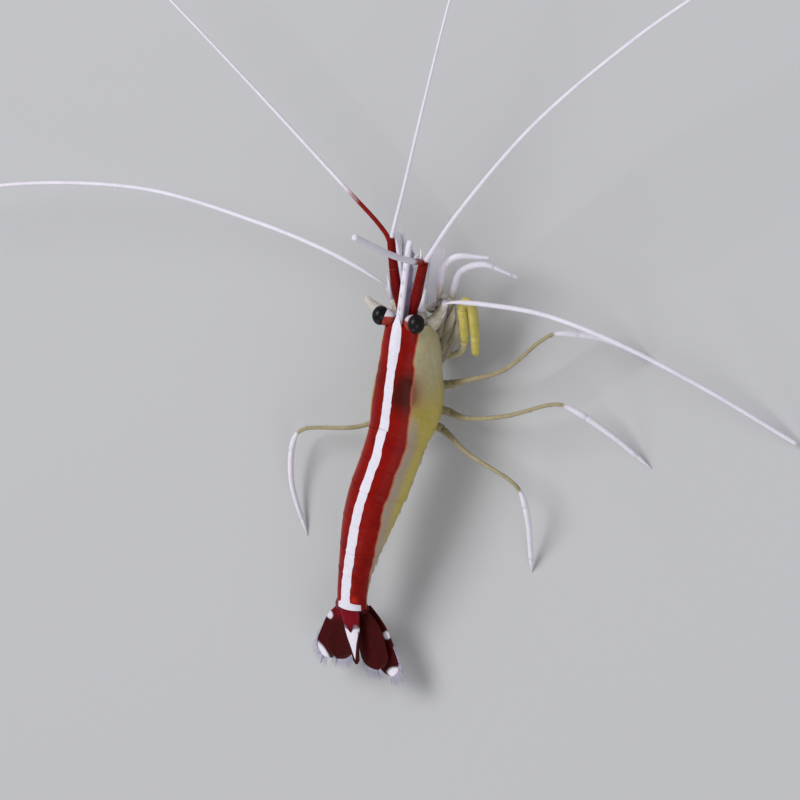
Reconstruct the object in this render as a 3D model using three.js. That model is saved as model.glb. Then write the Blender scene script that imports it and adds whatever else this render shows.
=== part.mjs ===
// A cleaner shrimp (Lysmata amboinensis), life size, as a still model. Millimetres, +Z up.
// The shrimp is laid out with its head towards +Y, its own right side towards +X, the
// floor at z = 0 and its eyes just in front of y = 0. At the end the whole group is moved so
// that its origin is the middle of its box, on the floor.
import * as THREE from 'three';

// ---- Driving dimensions -------------------------------------------------------------
const GAP = 0.3;                       // between neighbouring pieces
const TRUNK_FRONT = 1.0;               // distances back from y = 0: the carapace's front
const CARAPACE_END = 14.6;             // and its rear, then each somite's rear
const SOMITE_ENDS = [17.3, 20.9, 25.5, 29.2, 32.2, 37.4];
const TRUNK_SIDES = 24;

const ROSTRUM_LENGTH = 10.8;
const ROSTRUM_THICK = 0.8;
const ROSTRUM_DEEP = 1.3;
const ROSTRUM_DIP = 0.05;              // drop of its upper edge for each mm forward
const ROSTRUM_HEIGHT = 12.6;
const UPPER_TEETH = 6;
const LOWER_TEETH = 3;

const HEAD_FRONT = { half: [1.9, 1.15, 1.5], centre: [0, 0.55, 9.2] };

const EYE_SIZE = 2.1;
const EYE_SPREAD = 2.5;                // from the middle line to each eye's centre
const EYE_Y = 0.45;
const EYE_HEIGHT = 12.4;
const STALK_RADII = [0.36, 0.42];      // at its root and under the eye

const SCALE_LENGTH = 8.2;              // antennal scale
const SCALE_WIDTH = 2.0;
const PLATE_THICK = 0.5;               // scales and tail plates

const LEG_ROOT = 0.5;                  // radii of a walking leg
const LEG_SHAFT = 0.28;
const LEG_WHITE = 0.35;
const LEG_TIP = 0.25;
const FEELER_ROOT = 0.34;              // radii of a long feeler
const ANTENNA_ROOT = 0.36;
const FEELER_TIP = 0.25;
const STEM_WIDE = [0.75, 0.6];         // half widths and half heights of an antennule stem,
const STEM_TALL = [0.65, 0.5];         // at its root and at its end
const ANTENNA_STEM = [0.65, 0.45];     // radii

const TELSON_LENGTH = 7.2;
const TELSON_WIDE = [1.3, 0.46];       // half sizes, at its root and its tip
const TELSON_TALL = [0.55, 0.28];

// ---- Materials ----------------------------------------------------------------------
const finish = (color, roughness) =>
  new THREE.MeshStandardMaterial({ color, roughness, metalness: 0 });
const shellRed = finish(0x8e1410, 0.35);
const shellWhite = finish(0xe6e0ea, 0.4);
const flankYellow = finish(0xa89a4c, 0.4);
const clearShell = finish(0xb9b49a, 0.3);
const eyeBlack = finish(0x0c0c0d, 0.15);
const tailRed = finish(0x5a0f10, 0.35);

const shrimp = new THREE.Group();
const UP = new THREE.Vector3(0, 0, 1);
const point = ([x, y, z]) => new THREE.Vector3(x, y, z);

function add(name, geometry, material) {
  const mesh = new THREE.Mesh(geometry, material);
  mesh.name = name;
  shrimp.add(mesh);
  return mesh;
}

// ---- Swept bodies -------------------------------------------------------------------
// Moves the rings of a unit cylinder onto a curve. across(t) and upward(t) are the half
// sizes of the ring at t. With a flat end, the last ring lies level, as a sole does.
function sweep(curve, { across, upward = across, sides = 8, rings = 12,
  flatEnd = false }) {
  const geometry = new THREE.CylinderGeometry(1, 1, 1, sides, rings);
  const spots = geometry.attributes.position;
  const frames = [];
  for (let i = 0; i <= rings; i += 1) {
    const t = i / rings;
    const along = curve.getTangentAt(t);
    let above = UP.clone().addScaledVector(along, -UP.dot(along)).normalize();
    if (flatEnd && i === rings) {
      above = new THREE.Vector3(along.x, along.y, 0).normalize();
      along.set(0, 0, -1);
    }
    const side = new THREE.Vector3().crossVectors(along, above);
    frames.push({ centre: curve.getPointAt(t), side, above, t });
  }
  for (let i = 0; i < spots.count; i += 1) {
    const { centre, side, above, t } = frames[Math.round((spots.getY(i) + 0.5) * rings)];
    const spot = centre.clone()
      .addScaledVector(side, spots.getX(i) * across(t))
      .addScaledVector(above, spots.getZ(i) * upward(t));
    spots.setXYZ(i, spot.x, spot.y, spot.z);
  }
  return geometry;
}

const curveThrough = (points) =>
  new THREE.CatmullRomCurve3(points.map(point), false, 'centripetal');
const smooth = (t) => t * t * (3 - 2 * t);
const ramp = (a, b, t) => a + (b - a) * smooth(Math.min(Math.max(t, 0), 1));

// ---- Trunk --------------------------------------------------------------------------
// Each station gives the trunk's section at a distance back from the eyes: its shift to
// the side as the abdomen bends, its middle height, half width and half height.
const TRUNK = [
  { back: 1, shift: 0.05, middle: 9.75, wide: 2.9, tall: 2.85 },
  { back: 2, shift: 0.1, middle: 9.3, wide: 3.3, tall: 3.45 },
  { back: 4.5, shift: 0.1, middle: 8.6, wide: 3.5, tall: 4.3 },
  { back: 7, shift: 0.1, middle: 8.4, wide: 3.85, tall: 4.6 },
  { back: 9.5, shift: 0.1, middle: 8.15, wide: 4.15, tall: 4.85 },
  { back: 12, shift: 0.05, middle: 8.45, wide: 4.05, tall: 4.5 },
  { back: 14.3, shift: -0.1, middle: 9.1, wide: 3.6, tall: 3.75 },
  { back: 18.3, shift: -1.0, middle: 9.25, wide: 3.35, tall: 3.75 },
  { back: 22.5, shift: -2.15, middle: 9.2, wide: 3.3, tall: 3.65 },
  { back: 26.6, shift: -3.1, middle: 9.15, wide: 3.0, tall: 2.85 },
  { back: 30.9, shift: -4.0, middle: 8.7, wide: 2.35, tall: 2.2 },
  { back: 35.2, shift: -4.7, middle: 7.95, wide: 1.95, tall: 1.75 },
  { back: 37.8, shift: -4.8, middle: 7.5, wide: 1.9, tall: 1.5 },
];

// Smooth value of one measure of the trunk at a distance back from the eyes.
function trunkAt(back, measure) {
  const last = TRUNK.length - 1;
  let i = 0;
  while (i < last - 1 && TRUNK[i + 1].back < back) i += 1;
  const [a, b] = [TRUNK[i], TRUNK[i + 1]];
  const before = TRUNK[Math.max(i - 1, 0)];
  const after = TRUNK[Math.min(i + 2, last)];
  const span = b.back - a.back;
  const t = Math.min(Math.max((back - a.back) / span, 0), 1);
  const slopeA = (b[measure] - before[measure]) / (b.back - before.back || 1) * span;
  const slopeB = (after[measure] - a[measure]) / (after.back - a.back || 1) * span;
  const t2 = t * t;
  const t3 = t2 * t;
  return (2 * t3 - 3 * t2 + 1) * a[measure] + (t3 - 2 * t2 + t) * slopeA
    + (3 * t2 - 2 * t3) * b[measure] + (t3 - t2) * slopeB;
}

// The shell's section is an egg: full at the sides, a little narrower below.
const eggSection = (x, z) => [x * (z < 0 ? 1 - 0.06 * z * z : 1), z];

function trunkPiece(from, to, rings, rounding = 0) {
  const stops = [];
  for (let i = 0; i <= rings; i += 1) stops.push(from + (to - from) * i / rings);
  const centres = stops.map((s) => [trunkAt(s, 'shift'), -s, trunkAt(s, 'middle')]);
  const geometry = new THREE.CylinderGeometry(1, 1, 1, TRUNK_SIDES, rings);
  const spots = geometry.attributes.position;
  for (let i = 0; i < spots.count; i += 1) {
    const ring = Math.round((spots.getY(i) + 0.5) * rings);
    const s = stops[ring];
    const close = rounding && ring === 0 ? rounding : 1;
    const [x, z] = eggSection(spots.getX(i), spots.getZ(i));
    const [shift, y, middle] = centres[ring];
    const turn = (trunkAt(s + 0.5, 'shift') - trunkAt(s - 0.5, 'shift'));
    const lean = (trunkAt(s + 0.5, 'middle') - trunkAt(s - 0.5, 'middle'));
    const sideways = -x * trunkAt(s, 'wide') * close;
    const upward = z * trunkAt(s, 'tall') * close;
    spots.setXYZ(i, shift + sideways, y + sideways * turn + upward * lean, middle + upward);
  }
  return geometry;
}

add('carapace', trunkPiece(TRUNK_FRONT, CARAPACE_END, 13, 0.85), shellRed);
SOMITE_ENDS.forEach((end, i) => {
  const start = (i ? SOMITE_ENDS[i - 1] : CARAPACE_END) + GAP;
  add(`abdomen_${i + 1}`, trunkPiece(start, end, i === 5 ? 5 : 4), shellRed);
});

// ---- Rostrum: a thin toothed blade in front of the carapace ----------------------------
function rostrumBlade() {
  const tooth = ROSTRUM_LENGTH / (UPPER_TEETH + 1);
  const edge = (u) => -ROSTRUM_DIP * u;
  const outline = new THREE.Shape();
  outline.moveTo(0, edge(0) - ROSTRUM_DEEP);
  outline.lineTo(0, edge(0));
  for (let i = 0; i < UPPER_TEETH; i += 1) {
    const u = tooth * (i + 0.6);
    outline.lineTo(u, edge(u) + 0.05);
    outline.lineTo(u + tooth * 0.62, edge(u) + 0.42 - 0.03 * i);
    outline.lineTo(u + tooth * 0.7, edge(u));
  }
  outline.lineTo(ROSTRUM_LENGTH, edge(ROSTRUM_LENGTH) - 0.1);
  outline.lineTo(ROSTRUM_LENGTH, edge(ROSTRUM_LENGTH) - 0.5);
  for (let i = LOWER_TEETH; i > 0; i -= 1) {
    const u = ROSTRUM_LENGTH * (0.38 + 0.16 * i);
    outline.lineTo(u, edge(u) - 0.95);
    outline.lineTo(u - 0.5, edge(u) - 0.75);
  }
  outline.closePath();
  const blade = new THREE.ExtrudeGeometry(outline,
    { depth: ROSTRUM_THICK, bevelEnabled: false, steps: 1 });
  blade.translate(0, 0, -ROSTRUM_THICK / 2);
  return blade.applyMatrix4(new THREE.Matrix4().makeBasis(
    new THREE.Vector3(0, 1, 0), new THREE.Vector3(0, 0, 1), new THREE.Vector3(1, 0, 0)));
}
add('rostrum', rostrumBlade(), shellWhite)
  .position.set(TRUNK[0].shift, GAP - TRUNK_FRONT, ROSTRUM_HEIGHT);

// ---- Head front: carries the eyestalks, antennules and antennae -----------------------
const headFront = add('head_front', new THREE.SphereGeometry(1, 16, 10), flankYellow);
headFront.geometry.scale(...HEAD_FRONT.half);
headFront.position.set(...HEAD_FRONT.centre);

// ---- Eyes ----------------------------------------------------------------------------
for (const [side, sign] of [['right', 1], ['left', -1]]) {
  const eye = add(`eye_${side}`, new THREE.SphereGeometry(EYE_SIZE / 2, 16, 10), eyeBlack);
  eye.position.set(sign * EYE_SPREAD, EYE_Y, EYE_HEIGHT);
  const stalk = curveThrough([
    [sign * 0.78, EYE_Y, 11.9], [sign * 0.95, EYE_Y, 12.0], [sign * 1.12, EYE_Y, 12.1]]);
  add(`eyestalk_${side}`, sweep(stalk,
    { across: (t) => ramp(...STALK_RADII, t), sides: 10, rings: 2 }), clearShell);
}

// ---- Antennules: three-jointed stems, each with two long feelers ----------------------
const STEM_ROOT = { right: [1.05, 1.95, 10.85], left: [-1.15, 2.2, 10.6] };
const STEM_END = { right: [2.7, 8.0, 12.6], left: [-3.4, 9.6, 10.6] };
for (const side of ['right', 'left']) {
  const [root, end] = [STEM_ROOT[side], STEM_END[side]];
  const middle = root.map((v, k) => (v + end[k]) / 2 + (k === 2 ? 0.1 : 0));
  add(`antennule_stem_${side}`, sweep(curveThrough([root, middle, end]),
    { across: (t) => ramp(...STEM_WIDE, t), upward: (t) => ramp(...STEM_TALL, t),
      rings: 6 }), shellRed);
}

function feeler(name, points, rings, root = FEELER_ROOT) {
  const thick = (t) => ramp(root, FEELER_TIP, t);
  add(name, sweep(curveThrough(points), { across: thick, sides: 6, rings }), shellWhite);
}
feeler('antennule_left_outer', [[-3.9, 10.1, 10.8], [-9.0, 13.9, 11.4],
  [-23.1, 24.2, 13.0], [-35.9, 33.0, 14.0], [-44.6, 38.5, 14.3]], 20);
feeler('antennule_left_inner', [[-3.0, 10.35, 10.8], [-1.7, 16.4, 11.6],
  [0.0, 24.1, 12.8], [3.2, 39.6, 14.4], [5.4, 50.5, 14.6]], 18);
feeler('antennule_right_inner', [[3.15, 8.5, 13.0], [7.3, 14.5, 14.8],
  [18.5, 28.0, 19.0], [32.2, 40.8, 23.0], [43.0, 49.5, 25.4]], 20);
feeler('antennule_right_outer', [[2.75, 8.2, 13.5], [4.0, 9.2, 18.0],
  [6.2, 11.4, 26.0], [8.9, 14.2, 35.0], [12.6, 18.0, 47.0]], 16);

// ---- Antennae: clear scale, stem and the longest feeler -------------------------------
function scaleOutline() {
  const half = SCALE_WIDTH / 2;
  const outline = new THREE.Shape();
  outline.moveTo(0, -half * 0.6);
  outline.lineTo(SCALE_LENGTH * 0.93, -half);
  outline.lineTo(SCALE_LENGTH, -half * 0.8);
  outline.quadraticCurveTo(SCALE_LENGTH * 1.0, half * 0.5, SCALE_LENGTH * 0.82, half * 0.95);
  outline.quadraticCurveTo(SCALE_LENGTH * 0.4, half * 1.2, 0, half * 0.6);
  outline.closePath();
  return outline;
}
for (const [side, sign, root, rise] of [
  ['right', 1, [2.45, 1.95, 9.4], 0.1], ['left', -1, [-3.1, 1.95, 8.9], 0.02]]) {
  const plate = new THREE.ExtrudeGeometry(scaleOutline(),
    { depth: PLATE_THICK, bevelEnabled: false, curveSegments: 5, steps: 1 });
  plate.translate(0, 0, -PLATE_THICK / 2);
  if (sign < 0) plate.rotateX(Math.PI);
  const scale = add(`antennal_scale_${side}`, plate, clearShell);
  scale.position.set(...root);
  scale.rotation.set(0, 0, Math.PI / 2 - sign * 0.06);
  scale.rotateY(-rise);

  const drop = sign > 0 ? 0 : 0.5;
  const stem = curveThrough([[sign * 2.6, 0.3, 8.0 - drop], [sign * 3.2, 1.4, 8.2 - drop],
    [sign * 3.9, 2.5, 8.6 - 1.5 * drop]]);
  add(`antenna_stem_${side}`, sweep(stem,
    { across: (t) => ramp(...ANTENNA_STEM, t), rings: 4 }), clearShell);
}
feeler('antenna_left', [[-4.4, 3.1, 8.2], [-7.0, 4.5, 9.5], [-12.2, 6.2, 10.5],
  [-22.4, 7.8, 11.0], [-38.9, 8.7, 11.5], [-61.5, 4.6, 10.5], [-73.0, 0.0, 9.4]], 24,
ANTENNA_ROOT);
feeler('antenna_right', [[4.25, 2.95, 9.2], [6.4, 3.6, 9.9], [10.8, 4.3, 10.5],
  [18.2, 4.7, 10.5], [27.1, 3.4, 9.7], [38.1, -0.6, 5.8], [48.3, -5.6, 1.1]], 22,
ANTENNA_ROOT);

// ---- Mouth limbs and first two pairs of legs ------------------------------------------
function limb(name, points, radius, material, rings = 12) {
  add(name, sweep(curveThrough(points), { across: radius, sides: 8, rings }), material);
}
const slender = (root, shaft, tip) => (t) =>
  (t < 0.25 ? ramp(root, shaft, t / 0.25) : ramp(shaft, tip, (t - 0.25) / 0.75));
limb('maxilliped_right', [[1.3, -0.5, 5.4], [2.1, 1.2, 6.7], [2.9, 3.4, 8.1], [3.15, 6.5, 8.9],
  [5.1, 8.85, 8.7], [8.7, 9.1, 7.6]], slender(0.5, 0.4, 0.25), shellWhite, 16);
limb('maxilliped_left', [[-1.3, -0.5, 5.4], [-2.2, 1.5, 6.0], [-2.7, 4.3, 6.0], [-2.8, 6.2, 5.4],
  [-2.7, 6.9, 4.5]], slender(0.5, 0.4, 0.25), shellWhite);
limb('leg_1_right', [[2.2, -2.2, 5.0], [3.4, 0.4, 6.2], [4.2, 3.3, 7.5], [4.9, 6.1, 8.2],
  [7.2, 8.1, 8.1], [11.4, 7.4, 6.5]], slender(0.5, 0.38, 0.25), shellWhite, 16);
limb('leg_1_left', [[-2.2, -2.2, 5.0], [-3.2, 0.6, 4.8], [-3.8, 3.4, 4.9], [-4.1, 4.8, 4.2],
  [-4.3, 3.8, 3.1]], slender(0.5, 0.36, 0.25), shellWhite);
limb('leg_2_right', [[2.9, -4.6, 4.2], [4.5, -3.7, 4.7], [5.35, -2.7, 5.4], [5.9, 0.2, 6.9],
  [6.2, 3.3, 8.2], [6.95, 3.3, 8.0], [7.22, 0.6, 6.8], [6.8, -3.2, 4.9]], slender(0.4, 0.5, 0.42),
flankYellow, 20);
limb('leg_2_left', [[-2.4, -4.4, 3.7], [-3.2, -2.6, 3.7], [-3.9, 0.2, 3.6], [-4.5, 1.8, 3.1],
  [-4.9, 0.6, 2.2]], slender(0.5, 0.36, 0.26), flankYellow);

// ---- Walking legs ---------------------------------------------------------------------
// Each runs from its root under the carapace over the knee to a flat tip on the floor.
// knee is how far along the leg the pale shaft ends and the thicker white part begins.
const WALKING_LEGS = {
  leg_3_right: { knee: 0.62, points: [[2.9, -8.2, 3.8], [6.5, -6.6, 5.4], [12.0, -3.9, 6.7],
    [17.9, 1.7, 7.2], [20.1, 2.2, 6.2], [23.9, 1.8, 3.8], [28.3, -0.3, 0.0]] },
  leg_4_right: { knee: 0.61, points: [[3.0, -11.4, 3.8], [6.5, -11.4, 5.0], [12.8, -9.5, 6.5],
    [19.6, -6.5, 6.5], [21.4, -7.0, 5.6], [25.3, -9.5, 3.1], [29.7, -13.1, 0.0]] },
  leg_5_right: { knee: 0.56, points: [[2.6, -13.4, 4.3], [8.3, -15.4, 6.1], [14.5, -17.3, 6.2],
    [15.5, -18.5, 5.5], [15.9, -22.3, 3.5], [15.5, -29.6, 0.0]] },
  leg_3_left: { knee: 0.6, points: [[-2.9, -8.2, 3.7], [-5.0, -5.0, 3.4], [-5.8, 1.0, 4.1],
    [-6.0, 5.2, 4.9], [-6.3, 6.3, 4.1], [-6.9, 3.2, 2.2], [-7.8, -4.4, 0.0]] },
  leg_4_left: { knee: 0.56, points: [[-3.0, -11.2, 3.8], [-7.6, -15.6, 4.4], [-16.6, -18.3, 4.0],
    [-18.1, -19.8, 3.5], [-18.7, -25.6, 2.3], [-16.8, -32.9, 0.0]] },
  leg_5_left: { knee: 0.53, points: [[-2.6, -13.4, 4.3], [-5.2, -17.0, 4.0], [-7.4, -23.0, 4.3],
    [-8.2, -27.2, 4.1], [-8.9, -32.0, 2.6], [-9.4, -40.0, 0.0]] },
};
for (const [name, { knee, points }] of Object.entries(WALKING_LEGS)) {
  const radius = (t) => {
    if (t < 0.12) return ramp(LEG_ROOT, LEG_SHAFT, t / 0.12);
    if (t < knee) return LEG_SHAFT;
    if (t < knee + 0.08) return ramp(LEG_SHAFT, LEG_WHITE, (t - knee) / 0.08);
    return ramp(LEG_WHITE, LEG_TIP, (t - knee - 0.08) / (0.92 - knee));
  };
  add(name, sweep(curveThrough(points), { across: radius, rings: 20, flatEnd: true }),
    shellWhite);
}

// ---- Swimmerets: a pair of small paddles under each of the first five somites ------------
const SWIM_SPREAD = 0.37;                             // share of the trunk's half width
const SWIM_LEAN = 0.12;                               // how far they hang down as they run back
SOMITE_ENDS.slice(0, 5).forEach((end, i) => {
  const start = i ? SOMITE_ENDS[i - 1] : CARAPACE_END;
  const back = (start + end) / 2;
  const reach = 2.6 - 0.25 * i;
  const belly = trunkAt(back, 'middle') - trunkAt(back, 'tall');
  for (const [side, sign] of [['right', 1], ['left', -1]]) {
    const x = trunkAt(back, 'shift') + sign * SWIM_SPREAD * trunkAt(back, 'wide');
    const hang = curveThrough([[x, -back + 0.6, belly - 0.32], [x, -back, belly - 0.6],
      [x, -back - 0.9 * reach, belly - 0.6 - SWIM_LEAN * reach]]);
    add(`swimmeret_${i + 1}_${side}`, sweep(hang, {
      across: (t) => 0.35 + 0.5 * Math.sin(Math.PI * Math.min(t * 0.8 + 0.08, 1)),
      upward: () => 0.3, sides: 6, rings: 4 }), clearShell);
  }
});

// ---- Tail fan -------------------------------------------------------------------------
const TAIL_BASE = [-4.8, -37.95, 7.95];
const TAIL_HEADING = 0.1;                             // turn of the fan back to the right
const TAIL_SLOPE = 0.15;
const TELSON_TURN = 0.07;
const fan = new THREE.Group();
fan.position.set(...TAIL_BASE);
fan.rotation.set(TAIL_SLOPE, 0, TAIL_HEADING);
shrimp.add(fan);

const telsonCurve = new THREE.LineCurve3(new THREE.Vector3(0, 0, 0),
  new THREE.Vector3(0, -TELSON_LENGTH, 0));
const telson = new THREE.Mesh(sweep(telsonCurve, {
  across: (t) => ramp(...TELSON_WIDE, t),
  upward: (t) => ramp(...TELSON_TALL, t), sides: 12, rings: 6 }), shellRed);
telson.name = 'telson';
telson.rotation.z = TELSON_TURN;
fan.add(telson);

function platePaddle(length, width) {
  const half = width / 2;
  const outline = new THREE.Shape();
  outline.moveTo(0, -half * 0.35);
  outline.quadraticCurveTo(length * 0.3, -half * 1.0, length * 0.75, -half);
  outline.absellipse(length - half, 0, half, half, -Math.PI / 2, Math.PI / 2, false);
  outline.quadraticCurveTo(length * 0.3, half * 0.9, 0, half * 0.35);
  outline.closePath();
  const plate = new THREE.ExtrudeGeometry(outline,
    { depth: PLATE_THICK, bevelEnabled: false, curveSegments: 6, steps: 1 });
  return plate.translate(0, 0, -PLATE_THICK / 2);
}
const FAN_PLATES = [
  { name: 'uropod_inner_right', out: 1.1, drop: 0.95, spread: 0.26, length: 8.1, width: 3.7 },
  { name: 'uropod_inner_left', out: -1.1, drop: 0.95, spread: -0.27, length: 7.6, width: 3.7 },
  { name: 'uropod_outer_right', out: 1.5, drop: 1.75, spread: 0.33, length: 9.4, width: 3.5 },
  { name: 'uropod_outer_left', out: -1.75, drop: 1.75, spread: -0.46, length: 8.6, width: 3.5 },
];
for (const { name, out, drop, spread, length, width } of FAN_PLATES) {
  const plate = new THREE.Mesh(platePaddle(length, width), tailRed);
  plate.name = name;
  plate.position.set(out, -0.25, -drop);
  plate.rotation.set(0, 0, -Math.PI / 2 + spread);
  fan.add(plate);
}

// ---- Origin: the middle of the box, on the floor ---------------------------------------
shrimp.updateMatrixWorld(true);
const box = new THREE.Box3().setFromObject(shrimp, true);
shrimp.position.set(-(box.min.x + box.max.x) / 2, -(box.min.y + box.max.y) / 2, 0);

export default shrimp;
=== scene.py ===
# %% [markdown]
# # A cleaner shrimp
# This lesson dresses a life-size cleaner shrimp. The plain solids from the drawing step give
# every limb its place and size; the pieces here are built around them, finer, with joints,
# teeth, fringes and colours, and then hide the plain ones.

import math
import random

import bmesh
import bpy
from mathutils import Matrix, Vector
from mathutils.geometry import interpolate_bezier


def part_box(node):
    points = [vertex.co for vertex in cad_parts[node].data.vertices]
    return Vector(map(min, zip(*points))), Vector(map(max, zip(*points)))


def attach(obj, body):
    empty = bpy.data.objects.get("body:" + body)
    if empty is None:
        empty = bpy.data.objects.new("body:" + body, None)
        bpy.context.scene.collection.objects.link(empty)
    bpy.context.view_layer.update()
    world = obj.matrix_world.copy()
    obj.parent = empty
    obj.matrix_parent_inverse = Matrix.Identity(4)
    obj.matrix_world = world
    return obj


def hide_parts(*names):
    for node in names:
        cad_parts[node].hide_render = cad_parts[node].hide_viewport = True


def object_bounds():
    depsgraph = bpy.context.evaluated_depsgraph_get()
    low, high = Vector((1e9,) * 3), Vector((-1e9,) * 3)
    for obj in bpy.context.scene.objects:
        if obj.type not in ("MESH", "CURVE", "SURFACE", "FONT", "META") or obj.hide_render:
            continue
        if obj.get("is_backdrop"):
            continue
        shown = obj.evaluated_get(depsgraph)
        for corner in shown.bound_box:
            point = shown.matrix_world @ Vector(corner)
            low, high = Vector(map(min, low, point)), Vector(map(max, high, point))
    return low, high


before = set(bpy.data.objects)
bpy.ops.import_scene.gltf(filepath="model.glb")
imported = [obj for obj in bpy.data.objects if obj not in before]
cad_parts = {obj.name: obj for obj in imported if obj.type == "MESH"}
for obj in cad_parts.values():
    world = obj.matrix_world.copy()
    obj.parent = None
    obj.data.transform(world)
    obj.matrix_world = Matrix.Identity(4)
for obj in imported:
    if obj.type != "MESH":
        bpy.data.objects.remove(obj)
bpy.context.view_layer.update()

# %% [markdown]
# ## The shrimp's own millimetres
# A shrimp is easiest to lay out on its own axes: +Y ahead, +X to its right, z = 0 on the
# floor, in millimetres. The frame's origin is elsewhere, so one shift carries every finished
# mesh there. It is measured from the right eye, which both layouts know.

# %% The shift from the shrimp's layout to the frame
MM = 0.001
UP, AHEAD = Vector((0, 0, 1)), Vector((0, 1, 0))
SIDES = (("right", 1), ("left", -1))
RIGHT_EYE = Vector((2.5, 0.45, 12.4))
eye_low, eye_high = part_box("eye_right")
EYE_RADIUS = (eye_high.x - eye_low.x) / 2 / MM
SHIFT = (eye_low + eye_high) / 2 / MM - RIGHT_EYE
print("shift in mm:", [round(step, 3) for step in SHIFT], "eye radius:", round(EYE_RADIUS, 3))


def smooth(t):
    """An even S-shaped rise from 0 to 1."""
    t = min(max(t, 0.0), 1.0)
    return t * t * (3 - 2 * t)


def blend(a, b, t):
    return a + (b - a) * smooth(t)


def bump(x, middle, reach):
    """A soft hill of height 1."""
    return math.exp(-(((x - middle) / reach) ** 2))


def at(value, spot):
    """A value that is a number, or a function of where it is asked for."""
    return value(spot) if callable(value) else value


# %% [markdown]
# ## Finishing a piece
# Every piece ends the same way: its faces are turned outwards, it is carried to the frame,
# given its material, and the plain solids it stands for are hidden. One function does that,
# so that no piece can miss a step.

# %% Settle a mesh in the frame
def put_in_scene(name, data):
    made = bpy.data.objects.new(name, data)
    bpy.context.scene.collection.objects.link(made)
    return made


def settle(bm, name, material, nodes=(), thickness=0.0, bevel=0.0):
    bmesh.ops.recalc_face_normals(bm, faces=bm.faces)
    bmesh.ops.translate(bm, vec=SHIFT, verts=bm.verts)
    bmesh.ops.scale(bm, vec=(MM, MM, MM), verts=bm.verts)
    mesh = bpy.data.meshes.new(name)
    bm.to_mesh(mesh)
    bm.free()
    for face in mesh.polygons:
        face.use_smooth = True
    mesh.materials.append(material)
    piece = put_in_scene(name, mesh)
    if thickness:
        wall = piece.modifiers.new("wall", "SOLIDIFY")
        wall.thickness = thickness * MM
        wall.offset = -1
        wall.use_rim = True
    if bevel:
        edge = piece.modifiers.new("edge", "BEVEL")
        edge.width = bevel * MM
        edge.segments = 2
        edge.limit_method = "ANGLE"
    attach(piece, "root")
    if nodes:
        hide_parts(*nodes)
    print(f"{name}: {len(mesh.polygons)} faces")


# %% [markdown]
# ## Curves to grow along
# Limbs and feelers follow smooth curves through a few chosen points. The route keeps its
# length, so that a joint can be placed at a share of the limb, as it is on the animal.

# %% A smooth route through points
ROUTE_STEPS = 24


class Route:
    def __init__(self, points):
        knots = [Vector(p) for p in points]
        ends = [2 * knots[0] - knots[1], *knots, 2 * knots[-1] - knots[-2]]
        self.line = []
        for before, a, b, after in zip(ends, ends[1:], ends[2:], ends[3:]):
            first, second, third = [max(s.length, 1e-6) ** 0.5 for s in (a - before, b - a, after - b)]
            leave = ((a - before) / first - (b - before) / (first + second) + (b - a) / second) * second
            arrive = ((b - a) / second - (after - a) / (second + third) + (after - b) / third) * second
            self.line += interpolate_bezier(a, a + leave / 3, b - arrive / 3, b, ROUTE_STEPS)[:-1]
        self.line.append(knots[-1])
        self.reach = [0.0]
        for a, b in zip(self.line, self.line[1:]):
            self.reach.append(self.reach[-1] + (b - a).length)
        self.length = self.reach[-1]

    def spot(self, t):
        goal = min(max(t, 0.0), 1.0) * self.length
        i = 0
        while i < len(self.reach) - 2 and self.reach[i + 1] < goal:
            i += 1
        step = self.reach[i + 1] - self.reach[i]
        return self.line[i].lerp(self.line[i + 1], (goal - self.reach[i]) / max(step, 1e-9))

    def heading(self, t):
        return (self.spot(t + 0.004) - self.spot(t - 0.004)).normalized()

    def place(self, t, wide=1.0, tall=None, up=UP):
        """The matrix of a ring across the route: its x is sideways, its y up, its z ahead."""
        along = self.heading(t)
        above = (up - along * up.dot(along)).normalized()
        side = along.cross(above)
        tall = wide if tall is None else tall
        return Matrix((*zip(side * wide, above * tall, along, self.spot(t)), (0, 0, 0, 1)))

    def side(self, t):
        """The way to the right of the route."""
        return self.place(t).col[0].to_3d()


# %% [markdown]
# ## Growing a tube
# A limb is turned much as a plant grows: a ring is extruded, and the new ring is moved and
# scaled to its place on the route. A joint is three rings close together: the flare of one
# part's end, the narrow neck, and the start of the next part.

# %% Grow a tube ring by ring
def layer_of(bm, name):
    """The layer that holds one mark of every vertex."""
    return bm.verts.layers.float.get(name) or bm.verts.layers.float.new(name)


def grow(bm, places, sides, marks):
    """Extrudes a capped ring from place to place. marks holds each mark's value at each place."""
    layers = {name: layer_of(bm, name) for name in marks}
    ring = bmesh.ops.create_circle(bm, cap_ends=True, segments=sides, radius=1, matrix=places[0])["verts"]
    cap = ring[0].link_faces[0]
    for i, place in enumerate(places):
        if i:
            grown = bmesh.ops.extrude_face_region(bm, geom=[cap, *cap.edges, *cap.verts])["geom"]
            ring = [part for part in grown if isinstance(part, bmesh.types.BMVert)]
            cap = next(part for part in grown if isinstance(part, bmesh.types.BMFace))
            bmesh.ops.transform(bm, matrix=place @ places[i - 1].inverted_safe(), verts=ring)
        for name, layer in layers.items():
            for vert in ring:
                vert[layer] = marks[name][i]


def stops(count, joints=()):
    """Shares of a limb for its rings: evenly spaced, with three close together at each joint."""
    flare, start = 0.006, 0.008
    shares = [i / count for i in range(count + 1)]
    shares = [t for t in shares if all(not j - 2 * flare < t < j + 2 * start for j in joints)]
    for joint in joints:
        shares += [joint - flare, joint, joint + start]
    return sorted(shares)


def tube(bm, points, shares, sides, wide, tall=None, up=UP, **marks):
    """Grows along a route through points. Sizes and marks are numbers, or functions of the share."""
    path = Route(points)
    grow(bm, [path.place(t, at(wide, t), at(tall, t), up) for t in shares], sides,
         {name: [at(value, t) for t in shares] for name, value in marks.items()})
    return path


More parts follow.
